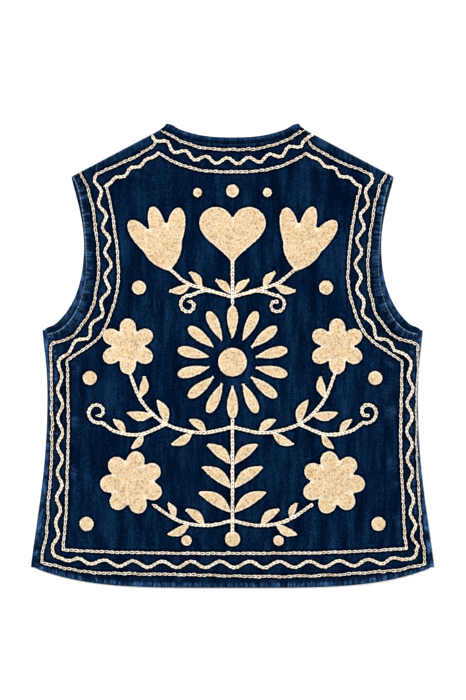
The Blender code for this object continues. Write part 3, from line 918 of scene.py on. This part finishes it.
def band(distance, near, far, soft=1.5):
    # 1 between two distances from an edge
    return smooth((distance - near) / soft + 0.5) * smooth((far - distance) / soft + 0.5)


# round the armhole, how rubbed the front's turned edge is, where less rubbed also means more painted shade,
# and how rubbed and how pale the back's, whose pale line is partly worn and partly a painted highlight
armLooks = np.array([
    # y, front's wear, back's wear, back's pale line
    (14, 0.05, 0.60, 0.95), (34, 0.12, 0.62, 0.95), (48, 0.60, 0.58, 0.90), (75, 0.85, 0.52, 0.60),
    (104, 0.90, 0.45, 0.35), (135, 0.45, 0.54, 0.80), (165, 0.08, 0.66, 0.95), (240, 0.06, 0.66, 0.95),
])


# how rubbed the back's edges are, and how rippled, which paints shade into the ripples' troughs and
# under the binding at the neck: share, from and to which distance from the edge, and how softly it
# starts and ends
edgeLooks = {
    "hem": {"wear": (0.95, -0.4, 6.0, 2.6), "rippleShade": (0.35, -4.0, 9.0, 3.0)},
    "arm": {"wear": (1.00, 1.5, 8.5, 3.0), "rippleShade": (0.70, 1.8, 9.5, 1.5)},
    "seam": {"wear": (0.75, -1.0, 7.5, 3.0), "rippleShade": (0.30, -4.0, 8.0, 3.0)},
    "shoulder": {"wear": (0.18, 0.0, 8.0, 4.0), "rippleShade": (0.12, -4.0, 9.0, 4.0)},
    "neck": {"wear": (0.60, 0.4, 3.2, 1.2), "rippleShade": (0.70, -3.0, 0.6, 0.8)},
}
# the same for the worn patches inside the outer edges, and for the painted shade in the groove round the
# armhole
patches, armGrooveShade = (0.24, 4.0, 36.0, 6.0), (0.60, 5.8, 7.8, 1.0)
# the pale line on the outer edges, partly worn and partly a painted highlight on the rounded edge: its
# width, its share on the shoulder, and how close to another edge the other two looks fade
paleLine = {"width": 5.0, "shoulder": 0.35, "corner": 2.5}


def backLooks(facts, x, y):
    # where the turned edges are rubbed, rippled with painted shade in the troughs, and pale along a line
    # that is partly a painted highlight
    def look(distance, share, *reach):
        return share * band(distance, *reach)

    armWear, armRim = (np.interp(y, armLooks[:, 0], armLooks[:, column]) for column in (2, 3))
    wear, rippleShade = (sum(look(facts[edge], *looks[key]) * (armWear if edge == "arm" else 1.0)
                      for edge, looks in edgeLooks.items()) for key in ("wear", "rippleShade"))
    mottle = np.sin(x / 9.0 + 2.0 * np.sin(y / 17.0)) * np.sin(y / 7.0 + x / 23.0)
    outer = np.minimum.reduce([facts[edge] for edge in ("seam", "arm", "shoulder")])
    wear += smooth(mottle) * look(outer, *patches)
    rippleShade += look(facts["arm"], *armGrooveShade)
    rim = armRim * smooth(1.0 - facts["arm"] / paleLine["width"])
    rim += paleLine["shoulder"] * smooth(1.0 - facts["shoulder"] / paleLine["width"])
    # where two edges meet, neither pattern carries across the corner
    two = np.sort(np.stack([facts[edge] for edge in edgeLooks]), axis=0)
    apart = smooth((two[1] - two[0]) / paleLine["corner"])
    return {"wear": wear * apart, "rippleShade": rippleShade * apart, "rim": rim, "near": fromStitches(x, y) * mm}


def makeBack():
    # where the side turns into the armhole, and the neck into the shoulder
    armShare, neckShare = 0.56, 0.41
    shoulder = np.array([panelNeck[-1], vest["shoulderTip"]])
    half = np.linspace(0.0, 1.0, 96)
    half = np.unique(np.append(1.4 * half - 0.4 * half * half, neckShare))    # closer at the side
    v = np.unique(np.append(edgeDense(202, 0.45), armShare))
    bottomX = half * seam[0, 0]
    bottom = np.stack([bottomX, hemY(bottomX)], -1)
    right = patch(bottom, joinedLine(panelNeck, shoulder, neckShare, half),
                  joinedLine(seam, backArm, armShare, v), half, v)
    left = right[:, :0:-1] * (-1.0, 1.0)
    flat = np.concatenate([left, right], axis=1)
    x, y = flat[..., 0], flat[..., 1]
    z, facts = backHeight(x, y)
    apart = np.where(x < 0.0, 3000.0, 0.0)    # so that the two sides don't mirror each other
    edges = [(facts[edge], facts[edge + "At"] + apart, facts[edge]) for edge in edgeLooks]
    back = clothGrid("backPanel", clothIndigo, np.dstack([x, y, z]),
                     backLooks(facts, x, y), edges, vest["cloth"])
    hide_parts("back")
    return back


# the underarm corner stands up a little, the free armhole edge lifts and ripples, which shows
# beyond the back's edge, and the strip on top sinks to the seam and wobbles
frontLie = {
    "corner": (222.0, 12.0), "cornerReach": (15.0, 16.0), "cornerRise": 4.2,
    "freeEdge": 16.0, "edgeLift": 0.55, "edgeRipple": 0.45, "edgePitch": 7.3,
    "stripSink": 0.55, "stripWobble": 0.28, "wobblePitch": 11.0,
}
# the front's looks: rubbing; painted shade in the side strip's ripples and over the inner face round the
# armhole; pale lines, partly worn and partly a painted highlight; and the painted shadow beside stitches
frontLooks = {
    "sideWear": {-1: 0.83, 1: 1.07}, "sideRippleShade": 0.10, "armWear": (-1.0, 6.8), "armRippleShade": (0.3, 0.9),
    "armRim": 0.25, "cornerRim": 0.6,
    # how much further from the stitches it counts as, for the painted shadow beside them: everywhere, and on
    # the strip beyond the chain
    "shadeOff": 0.8, "beyondChain": 2.4, "beyondFrom": (3.6, 1.2),
}


def makeFront(name, direction, node):
    r = lie["foldRadius"]
    foldLine = np.stack([side[:, 0] - r, side[:, 1]], -1)
    foldLine[0, 1] = hemY(foldLine[0, 0], vest["frontHemLift"])
    armShare, neckShare = 0.62, 0.46
    neck = frontNeckLine(vest["binding"] + 0.5)
    shoulder = np.array([neck[-1], vest["shoulderTip"]])
    u = np.concatenate([np.linspace(0.0, 0.84, 26)[:-1], np.linspace(0.84, 1.0, 20)])
    v = np.unique(np.append(edgeDense(190, 0.3), armShare))
    edgeX = vest["frontGap"] / 2
    bottomX = mix(edgeX, foldLine[0, 0], u)
    bottom = np.stack([bottomX, hemY(bottomX, vest["frontHemLift"])], -1)
    outer = joinedLine(foldLine, frontArm, armShare, v)
    flat = patch(bottom, joinedLine(neck, shoulder, neckShare, u), outer, u, v)
    below = belowShoulder(flat[..., 0], flat[..., 1])
    fromArm, armAt = nearestOn(frontArm, flat[..., 0], flat[..., 1])
    (cornerX, cornerY), (reachX, reachY) = frontLie["corner"], frontLie["cornerReach"]
    flat[..., 1] += (frontLie["cornerRise"] * smooth((flat[..., 0] - cornerX) / reachX)
                     * smooth((flat[..., 1] - cornerY) / reachY))
    z = shoulderDrop(below) * besideNeck(flat[..., 0])
    lifted = smooth(1.0 - fromArm / frontLie["freeEdge"]) * smooth((v[:, None] - armShare) / 0.02)
    waves = ripple(armAt, frontLie["edgePitch"], 0.9 + direction)
    z = z + lifted * (frontLie["edgeLift"] + frontLie["edgeRipple"] * waves)
    points = np.dstack([flat, z])

    # round the side fold, then a strip of the front lies on top as far as the side seam
    angles = np.linspace(0.0, math.pi, 11)[1:]
    strip = vest["seamInset"] - r - vest["seamGap"]
    last = points[:, -1]
    fold = [last + np.stack([np.full(len(v), r * math.sin(a)), np.zeros(len(v)),
                             np.full(len(v), r * (1 - math.cos(a)))], -1) for a in angles]
    onTop = [fold[-1] + (-strip * share, 0.0, -frontLie["stripSink"] * share ** 6)
             for share in (0.25, 0.5, 0.72, 0.88, 1.0)]
    wrap = np.stack(fold + onTop, axis=1)
    seamAt = arcLengths(last[:, :2])[:, None]
    wobble = ripple(seamAt, frontLie["wobblePitch"], 1.7 + direction)
    wrap[:, :, 2] += frontLie["stripWobble"] * wobble * smooth((wrap[:, :, 2] - r) / r)
    points = np.concatenate([points, wrap], axis=1)
    keep = np.ones(points.shape[:2], bool)
    keep[v > armShare + 1e-6, len(u):] = False

    columns = np.arange(points.shape[1])[None, :]
    onSide = smooth((columns - len(u) + 3.0) / 4.0) * (v[:, None] <= armShare)
    onArm = np.zeros(onSide.shape)
    onArm[:, :len(u)] = smooth((v[:, None] - armShare + 0.01) / 0.02)
    armDistance = np.full(onSide.shape, 50.0)
    armDistance[:, :len(u)] = fromArm
    corner = np.hypot(points[..., 0] - vest["underarm"][0], points[..., 1] - vest["underarm"][1])
    armWear = np.interp(points[..., 1], armLooks[:, 0], armLooks[:, 1])
    inShade = 1.0 - armWear
    # the strip beyond the chain gets no painted shadow from it
    inward = last[:, :1] + r - points[..., 0]
    width, soft = frontLooks["beyondFrom"]
    beyondChain = onSide * smooth((width - inward) / soft)
    near = fromStitches(direction * points[..., 0], points[..., 1])
    # painted shade over the front's inner face beyond the back's armhole edge, most where it's least rubbed,
    # and in the side strip's ripples
    armRippleShade = mix(*frontLooks["armRippleShade"], smooth((armDistance - 1.5) / 3.0))
    looks = {"wear": (frontLooks["sideWear"][direction] * onSide
                      + onArm * armWear * band(armDistance, *frontLooks["armWear"])),
             "rippleShade": frontLooks["sideRippleShade"] * onSide + onArm * inShade * armRippleShade,
             "rim": (frontLooks["armRim"] * armWear * onArm
                     + frontLooks["cornerRim"] * smooth(1.6 - corner / 4.0)),
             "near": (near + frontLooks["shadeOff"] + frontLooks["beyondChain"] * beyondChain) * mm}
    reach = np.hypot(points[..., 0] - points[:, len(u) - 1:len(u), 0],
                     points[..., 2] - points[:, len(u) - 1:len(u), 2])
    # the ripples run along these edges
    edges = [(np.where(onArm > 0.5, 1.0, 0.0), reach + 900.0 * direction, 1.1 * (seamAt[-1] - seamAt)),
             (np.where(onArm > 0.5, 0.0, 1.0),
              0.30 * np.pad(armAt, ((0, 0), (0, wrap.shape[1])), mode="edge"), 2.6 * armDistance)]
    points[..., 0] *= direction
    front = clothGrid(name, clothIndigo, points, looks, edges, vest["cloth"], keep,
                      direction > 0)
    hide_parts(node)
    return front


# the strip's section: across from the folded edge, and up from its underside
bindingSection = [(1.0, 0.0), (0.6, 0.0), (0.25, 0.0), (0.10, 0.06), (0.03, 0.2), (0.0, 0.5),
                  (0.03, 0.8), (0.10, 0.94), (0.22, 1.02), (0.40, 1.08), (0.60, 1.00), (0.78, 0.94),
                  (0.94, 0.84), (1.04, 0.72), (1.10, 0.66)]
bindingLie = {
    "wrinkle": 0.16, "wrinklePitch": 5.3,
    # the folded edge stands a little proud, most of all just before the shoulder: height, x, reach
    "proud": 0.7, "swell": (1.3, 76.0, 9.0), "dip": (0.6, 80.0, 3.4),
    # how far it clears the cloth, and its ends: from which share they lift, how far, and their hollow
    "clear": 0.5, "end": (0.80, 0.12), "endLift": 0.35, "hollow": (1.3, 1.2), "hollowFrom": 0.965,
}


def makeBinding(name, outerLine, innerLine, top, bottom, node, flip=False, pull=0.0):
    # a narrow strip folded over the neck edge: underside, rounded fold, upper side
    # pull moves the strip's middle, which hollows the end where it turns over the shoulder
    where = arcLengths(outerLine)
    wrinkle = bindingLie["wrinkle"] * ripple(where, bindingLie["wrinklePitch"], 0.4)
    rows = []
    for across, up in bindingSection:
        flat = mix(outerLine, innerLine, across) + pull * bump((across - 0.42) / 0.42)
        z = mix(bottom, top, up) + wrinkle * (up > 0.5)
        rows.append(np.column_stack([flat, z]))
    points = np.stack(rows, axis=1)
    across = np.array([row[0] for row in bindingSection])[None, :] + np.zeros((len(where), 1))
    ridge = smooth(0.5 + 2.5 * wrinkle)[:, None]
    # the folded edge is rubbed paler; painted shade darkens the strip towards its inner edge, where it meets
    # the cloth
    looks = {"wear": (0.42 + 0.22 * ridge) * band(across, 0.0, 0.52, 0.25),
             "rippleShade": 0.15 + 0.65 * smooth((across - 0.55) / 0.2), "rim": 0.0, "near": 1.0}
    edges = [(0.0, where[:, None] + 700.0 * flip, across * vest["binding"])]
    binding = clothGrid(name, bindingIndigo, points, looks, edges,
                        vest["bindingCloth"], flip=flip)
    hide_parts(node)
    return binding


def makeBackBinding():
    outer, inner = backNeckLine(0.0), backNeckLine(vest["binding"])
    shares = np.linspace(0.0, 1.0, 70)
    a, b = along(outer, shares), along(inner, shares)
    (swell, swellAt, swellReach), (dip, dipFrom, dipReach) = bindingLie["swell"], bindingLie["dip"]
    a[:, 1] += (bindingLie["proud"] + swell * bump((a[:, 0] - swellAt) / swellReach)
                - dip * smooth((a[:, 0] - dipFrom) / dipReach))
    a, b = np.vstack([mirrored(a[1:]), a]), np.vstack([mirrored(b[1:]), b])
    panel = along(backNeckLine(vest["binding"] + vest["seamGap"]), shares)
    beside = clothTop(panel[:, 0], panel[:, 1] - 3.4)
    endFrom, endReach = bindingLie["end"]
    end = smooth((shares - endFrom) / endReach)
    top = np.maximum(beside + bindingLie["clear"],
                     mix(0.0, 2 * vest["bindingThick"] + bindingLie["endLift"], end))
    top += bindingLie["clear"] * end
    top = np.concatenate([top[:0:-1], top])
    hollowX, hollowY = bindingLie["hollow"]
    hollow = smooth((np.abs(a[:, 0]) / vest["neckHalf"] - bindingLie["hollowFrom"]) / 0.035)[:, None]
    pull = -hollow * np.stack([hollowX * np.sign(a[:, 0]), np.full(len(a), hollowY)], -1)
    return makeBinding("neckBindingBack", a, b, top, top - vest["bindingThick"],
                       "neck_binding_back", pull=pull)


def makeFrontBinding(name, direction, node):
    shares = np.linspace(0.0, 1.0, 90)
    a, b = along(frontNeckLine(0.0), shares), along(frontNeckLine(vest["binding"]), shares)
    a[:, 0] *= direction
    b[:, 0] *= direction
    flat = np.zeros(len(shares))
    return makeBinding(name, a, b, flat + vest["bindingThick"], flat + 0.05, node, flip=direction < 0)


backPanel = makeBack()
print("cloth: back panel")
frontPieces = [makeFront("frontPanelLeft", -1, "front_left"), makeFront("frontPanelRight", 1, "front_right")]
print("cloth: fronts")
bindings = [makeBackBinding(), makeFrontBinding("neckBindingFrontLeft", -1, "neck_binding_front_left"),
            makeFrontBinding("neckBindingFrontRight", 1, "neck_binding_front_right")]
print("cloth: neck binding")


def selectPart(piece, direction):
    # the half of a ring that lies to one side, or its middle, left selected in edit mode
    bpy.ops.object.mode_set(mode="EDIT")
    bpy.ops.mesh.select_mode(type="VERT")
    bpy.ops.mesh.select_all(action="DESELECT")
    bpy.ops.object.mode_set(mode="OBJECT")
    for vertex in piece.data.vertices:
        vertex.select = direction * vertex.co.x > 0.01 if direction else abs(vertex.co.x) < 0.01
    bpy.ops.object.mode_set(mode="EDIT")


def baseMesh(majorSegments, minorSegments, threadRadius, ringRadius, stretch, pinch, waist):
    # one loop of yarn: a ring pulled long, and drawn together where it comes out of the cloth
    bpy.ops.object.select_all(action="DESELECT")
    bpy.ops.mesh.primitive_torus_add(major_segments=majorSegments, minor_segments=minorSegments,
                                     major_radius=ringRadius, minor_radius=threadRadius,
                                     generate_uvs=True)
    ring = bpy.context.object
    selectPart(ring, 0)
    bpy.ops.transform.resize(value=(1.0, waist, 1.0), center_override=(0.0, 0.0, 0.0))
    bpy.ops.object.mode_set(mode="OBJECT")
    for direction in (-1, 1):
        selectPart(ring, direction)
        bpy.ops.transform.translate(value=(direction * stretch, 0.0, 0.0))
        if direction < 0 and pinch < 1.0:
            bpy.ops.transform.resize(value=(1.0, pinch, 1.0), center_override=(-stretch, 0.0, 0.0))
        bpy.ops.object.mode_set(mode="OBJECT")
    data = ring.data
    points = np.array([v.co for v in data.vertices])
    faces = np.array([p.vertices[:] for p in data.polygons])
    uvs = np.array([loop.uv for loop in data.uv_layers[0].data])
    bpy.data.objects.remove(ring, do_unlink=True)
    return {"points": points, "faces": faces, "uvs": uvs}


def stitchMesh(name, base, places, material):
    # places: x, y, yaw, tilt, roll, length, width, lift, tone for each stitch
    placeX, placeY, yaw, tilt, roll, length, width, lift, tones = np.array(places, float).T[..., None]
    count, size = len(places), len(base["points"])
    x, y, z = (base["points"][:, axis] * scale
               for axis, scale in enumerate((length, width, 0.5 * (length + width))))
    y, z = rotated(y, z, roll)
    x, z = rotated(x, z, tilt)
    x, y = rotated(x, y, yaw)
    x, y = placeX + x, placeY + y
    points = np.dstack([x, y, clothTop(x, y) + lift + z]).reshape(-1, 3)
    faces = (base["faces"][None] + (np.arange(count) * size)[:, None, None]).reshape(-1, 4)
    uvs = np.tile(base["uvs"] * (spun["plyTurns"] * 4, spun["plyTurns"]), (count, 1))
    return newPiece(name, material, points, faces, {"tone": np.repeat(tones, size)},
                    "strand", uvs)


# links of chain stitch: pitch along the line, width over both threads, and thread thickness
chains = {
    "outer": {"pitch": 6.3, "width": 4.0, "thread": 1.36, "uneven": 0.09, "overlap": 2.4, "wander": 0.6,
              "tone": 0.62},
    "inner": {"pitch": 6.4, "width": 4.1, "thread": 1.50, "uneven": 0.08, "overlap": 2.5, "wander": 0.3,
              "tone": 0.74},
    "wave": {"pitch": 5.0, "width": 4.8, "thread": 2.07, "uneven": 0.06, "overlap": 3.4, "wander": 0.0,
             "tone": 0.58},
    "stem": {"pitch": 5.0, "width": 5.1, "thread": 2.10, "uneven": 0.07, "overlap": 3.6, "wander": 0.0,
             "tone": 0.66},
    "rim": {"pitch": 3.2, "width": 2.7, "thread": 1.35, "uneven": 0.10, "overlap": 1.6, "wander": 0.0,
            "tone": 0.55},
}
# each link's shape, and how far links differ: the first four as shares of how uneven the chain is
link = {"pinch": 0.30, "waist": 0.80, "tilt": 0.14, "lift": 0.42,
        "slip": 0.6, "swivel": 0.7, "sideways": 1.6, "stretch": 0.5, "liftSpread": 0.05,
        "toneSpread": 0.16}
for chain in chains.values():
    ringRadius = (chain["width"] - chain["thread"]) / 2
    stretch = max((chain["pitch"] + chain["overlap"] - chain["width"]) / 2, 0.1)
    segments = (12, 5) if chain["width"] > 3 else (8, 4)
    chain["base"] = baseMesh(*segments, chain["thread"] / 2, ringRadius, stretch, link["pinch"],
                             link["waist"])


def chainAlong(line, kind):
    chain = chains[kind]
    line = np.array(line, float)
    lengths = arcLengths(line)
    count = max(2, int(round(lengths[-1] / chain["pitch"])))
    uneven = chain["uneven"]
    at = np.arange(count) + 0.5 + random.normal(0, link["slip"] * uneven, count)
    at = at / count * lengths[-1]
    ahead = along(line, (at + 1.0) / lengths[-1])
    behind = along(line, (at - 1.0) / lengths[-1])
    place = along(line, at / lengths[-1])
    yaw = np.arctan2(*(ahead - behind).T[::-1]) + random.normal(0, link["swivel"] * uneven, count)
    sideways = random.normal(0, link["sideways"] * uneven, count)
    sideways += chain["wander"] * ripple(at, 29.0, line[0, 0])
    place = place + np.stack([-np.sin(yaw), np.cos(yaw)], -1) * sideways[:, None]
    long = 1.0 + random.normal(0, link["stretch"] * uneven, count)
    wide = 1.0 + random.normal(0, uneven, count)
    lift = chain["thread"] * (link["lift"] + random.normal(0, link["liftSpread"], count))
    tones = np.clip(chain["tone"] + random.normal(0, link["toneSpread"], count), 0.0, 1.0)
    return np.column_stack([place, yaw, np.full(count, link["tilt"]), random.normal(0, uneven, count),
                            long, wide, lift, tones])


for name, kind in (("borderOuterChain", "outer"), ("borderInnerChain", "inner"), ("borderWave", "wave")):
    runs = [chainAlong(line, kind) for line in borderRuns[kind]]
    if kind == "outer":
        narrowAndLit = np.interp(runs[0][:, 1], turnedOver[:, 0], turnedOver[:, 1])
        runs[0][:, 6] *= narrowAndLit
        # painted light: narrowed links are painted paler, against the shade they fall in on the fold
        runs[0][:, 8] = mix(1.0, runs[0][:, 8], narrowAndLit)
    stitchMesh(name, chains[kind]["base"], np.vstack(runs), chalkYarn)
print("stitches: border")

# the field's filling of small loops, on a low domed pad
fill = {"spacing": 2.65, "ring": 0.80, "thread": 0.46, "stretch": 0.22, "margin": 1.9, "tone": 0.55,
        "toneSpread": 0.15, "wander": 0.36, "darkShare": 0.08, "darkTone": 0.10, "loopLift": 0.42,
        "lean": 0.5, "long": (0.9, 1.25), "wide": (0.9, 1.1), "liftSpread": 0.10,
        "rimDepth": (0.35, 1.8), "rimInset": 1.15, "rimLift": 0.95, "rimLiftSpread": 0.05}
# the pad under the loops: its tone is painted shade between them, a share of its points in the gaps takes a
# deeper painted shade, and rim gives the width and tone of a lighter band along the outline
pad = {"base": 0.25, "height": 0.95, "dome": 3.5, "cell": 1.9, "tone": 0.24, "gapShade": 0.42,
       "rim": (1.5, 0.5), "cloth": 0.4, "margin": 3.0}
loopBase = baseMesh(6, 4, fill["thread"], fill["ring"], fill["stretch"], 1.0, 1.0)


def padRise(depth):
    return pad["base"] + pad["height"] * smooth(depth / pad["dome"])


def padFor(shapes):
    # a grid whose edge is drawn onto the outline
    everything = np.vstack(shapes)
    low, high = everything.min(0) - pad["margin"], everything.max(0) + pad["margin"]
    x, y = np.meshgrid(*(np.arange(low[axis], high[axis], pad["cell"]) for axis in (0, 1)))
    depth = deepest(shapes, x, y)
    step = 0.3
    gradX = deepest(shapes, x + step, y) - deepest(shapes, x - step, y)
    gradY = deepest(shapes, x, y + step) - deepest(shapes, x, y - step)
    size = np.maximum(np.hypot(gradX, gradY), 1e-6)
    outside = (depth < 0.0) & (depth > -1.5 * pad["cell"])
    shift = np.where(outside, -depth + 0.05, 0.0)
    x, y = x + gradX / size * shift, y + gradY / size * shift
    used, quads = np.unique(gridFaces(*x.shape, depth > -0.75 * pad["cell"]), return_inverse=True)
    x, y = x.reshape(-1)[used], y.reshape(-1)[used]
    inner = np.maximum(deepest(shapes, x, y), 0.0)
    return np.column_stack([x, y, clothTop(x, y) + padRise(inner), inner]), quads.reshape(-1, 4)


def padMesh(name, motifs):
    points, quads, offset = [], [], 0
    for shapes in motifs:
        p, q = padFor(shapes)
        points.append(p)
        quads.append(q + offset)
        offset += len(p)
    points = np.vstack(points)
    # painted shade between the loops: the pad's tone, with darker specks here and there, but not along the
    # outline
    rimWidth, rimTone = pad["rim"]
    paintedShade = random.uniform(0, 1, offset) < pad["gapShade"]
    tones = np.where(points[:, 3] < rimWidth, rimTone, np.where(paintedShade, 0.0, pad["tone"]))
    return newPiece(name, creamYarn, points[:, :3], np.vstack(quads), {"tone": tones},
                    "strand", wall=pad["cloth"])


def loopPlaces(shapes):
    everything = np.vstack(shapes)
    low, high = everything.min(0), everything.max(0)
    spacing = fill["spacing"]
    rowsY = np.arange(low[1], high[1], spacing * 0.866)
    grid = [(x + (row % 2) * spacing / 2, y) for row, y in enumerate(rowsY)
            for x in np.arange(low[0], high[0], spacing)]
    p = np.array(grid) + random.normal(0, fill["wander"], (len(grid), 2))
    depth = deepest(shapes, p[:, 0], p[:, 1])
    p, depth = p[depth > fill["margin"]], depth[depth > fill["margin"]]
    count = len(p)
    lift = padRise(depth) + fill["loopLift"] + random.normal(0, fill["liftSpread"], count)
    tones = np.clip(fill["tone"] + random.normal(0, fill["toneSpread"], count), 0.0, 1.0)
    tones[random.uniform(0, 1, count) < fill["darkShare"]] = fill["darkTone"]
    yaw = random.uniform(0, 2 * math.pi, count)
    tilt, roll = (random.normal(0, fill["lean"], count) for _ in range(2))
    long, wide = (random.uniform(*fill[key], count) for key in ("long", "wide"))
    return np.column_stack([p, yaw, tilt, roll, long, wide, lift, tones])


def rimPlaces(shapes):
    # a tidy outline of stitches just inside the motif's edge, and none where two shapes join
    rows = []
    for outline in shapes:
        turn = outline[:, 0] * np.roll(outline[:, 1], -1) - np.roll(outline[:, 0], -1) * outline[:, 1]
        fine = spaced(np.vstack([outline, outline[:1]]), 1.0)
        places = chainAlong(offsetLine(fine, fill["rimInset"] * np.sign(turn.sum())), "rim")
        depth = deepest(shapes, places[:, 0], places[:, 1])
        places = places[(depth > fill["rimDepth"][0]) & (depth < fill["rimDepth"][1])]
        places[:, 7] = fill["rimLift"] + random.normal(0, fill["rimLiftSpread"], len(places))
        rows.append(places)
    return np.vstack(rows)


total = 0
rims = []
for name, motifs in field.items():
    places = np.vstack([loopPlaces(shapes) for shapes in motifs])
    stitchMesh(name, loopBase, places, creamYarn)
    print(name, len(places), "loops")
    padMesh(name.replace("fill", "pad"), motifs)
    rims += [rimPlaces(shapes) for shapes in motifs]
    total += len(places)
rims = np.vstack(rims)
stitchMesh("fieldRims", chains["rim"]["base"], rims, chalkYarn)
print("stitches:", total, "fill loops and", len(rims), "rim stitches")
stems = np.vstack([chainAlong(line, "stem") for line in fieldRuns])
stitchMesh("fieldStems", chains["stem"]["base"], stems, chalkYarn)
print("stitches:", len(stems), "stem stitches")

# tonal topstitching
topstitch = {"length": 2.9, "gap": 1.3, "thread": 0.26, "ring": 0.03, "lift": 0.12, "neckInset": 2.2}


def stitchRow(line):
    points = spaced(line, topstitch["length"] + topstitch["gap"])
    middle = (points[1:] + points[:-1]) / 2
    yaw = np.arctan2(*(points[1:] - points[:-1]).T[::-1])
    count = len(middle)
    tones = np.clip(random.normal(0.5, 0.2, count), 0, 1)
    return np.column_stack([middle, yaw, np.zeros((count, 2)), np.ones((count, 2)),
                            np.full(count, topstitch["lift"]), tones])


def topstitching():
    base = baseMesh(6, 4, topstitch["thread"], topstitch["ring"], topstitch["length"] / 2, 1.0, 1.0)
    x = np.linspace(-seam[0, 0] + 1, seam[0, 0] - 1, 200)
    rows = [np.stack([x, hemY(x) + puckers["hem"]["stitch"]], -1)]
    rows += bothSides(offsetLine(backArm, puckers["armhole"]["stitch"])[2:-3])
    neck = backNeckLine(vest["binding"] + topstitch["neckInset"])
    rows.append(np.vstack([mirrored(neck[1:]), neck]))
    places = np.vstack([stitchRow(row) for row in rows])
    stitchMesh("topstitching", base, places, threadIndigo)


topstitching()
print("stitches: topstitching")

studio = {
    "floorSize": 6.0, "floorTints": ((0.925, 0.925, 0.92), (0.93, 0.93, 0.925)),
    "floorFinish": {"Roughness": 0.9, "Specular IOR Level": 0.1}, "world": 0.84,
    "cameraHeight": 2.6, "frameHeight": 0.8842, "frameMiddle": (0.0006, 0.0073), "sensor": 24.0,
}
# name, place, size, power; each looks at the middle of the vest
lights = [("softKey", (-0.7, 0.8, 2.2), 1.0, 41.0), ("fill", (1.6, -0.9, 2.2), 2.0, 20.5)]


def makeFloor():
    bpy.ops.object.select_all(action="DESELECT")
    bpy.ops.mesh.primitive_plane_add(size=studio["floorSize"], location=(0.0, 0.0, -0.0004))
    floor = bpy.context.object
    floor.name = "floor"
    look = Look("paleFloor")
    tint = look.ramp(look.noise(look.place((3.0, 3.0, 3.0)), 2.0, 0.5), 0.3, 0.7)
    colour = look.blend(tint, *studio["floorTints"])
    floor.data.materials.append(look.finished(colour, studio["floorFinish"]))


def makeLight(name, place, size, power):
    light = bpy.data.lights.new(name, "AREA")
    light.shape = "SQUARE"
    light.size = size
    light.energy = power
    holder = bpy.data.objects.new(name, light)
    holder.location = place
    holder.rotation_euler = (-Vector(place)).to_track_quat("-Z", "Y").to_euler()
    bpy.context.scene.collection.objects.link(holder)


def makeWorld():
    world = bpy.data.worlds.new("studio")
    world.use_nodes = True
    background = world.node_tree.nodes["Background"]
    background.inputs["Color"].default_value = (1.0, 1.0, 1.0, 1.0)
    background.inputs["Strength"].default_value = studio["world"]
    bpy.context.scene.world = world


def makeCamera():
    data = bpy.data.cameras.new("camera")
    data.sensor_fit = "VERTICAL"
    data.sensor_height = studio["sensor"]
    data.sensor_width = studio["sensor"]
    data.lens = studio["sensor"] * studio["cameraHeight"] / studio["frameHeight"]
    camera = bpy.data.objects.new("camera", data)
    camera.location = (*studio["frameMiddle"], studio["cameraHeight"])
    bpy.context.scene.collection.objects.link(camera)
    bpy.context.scene.camera = camera


makeFloor()
makeWorld()
for row in lights:
    makeLight(*row)
makeCamera()
bpy.context.scene.view_settings.view_transform = "Standard"
print("studio ready")
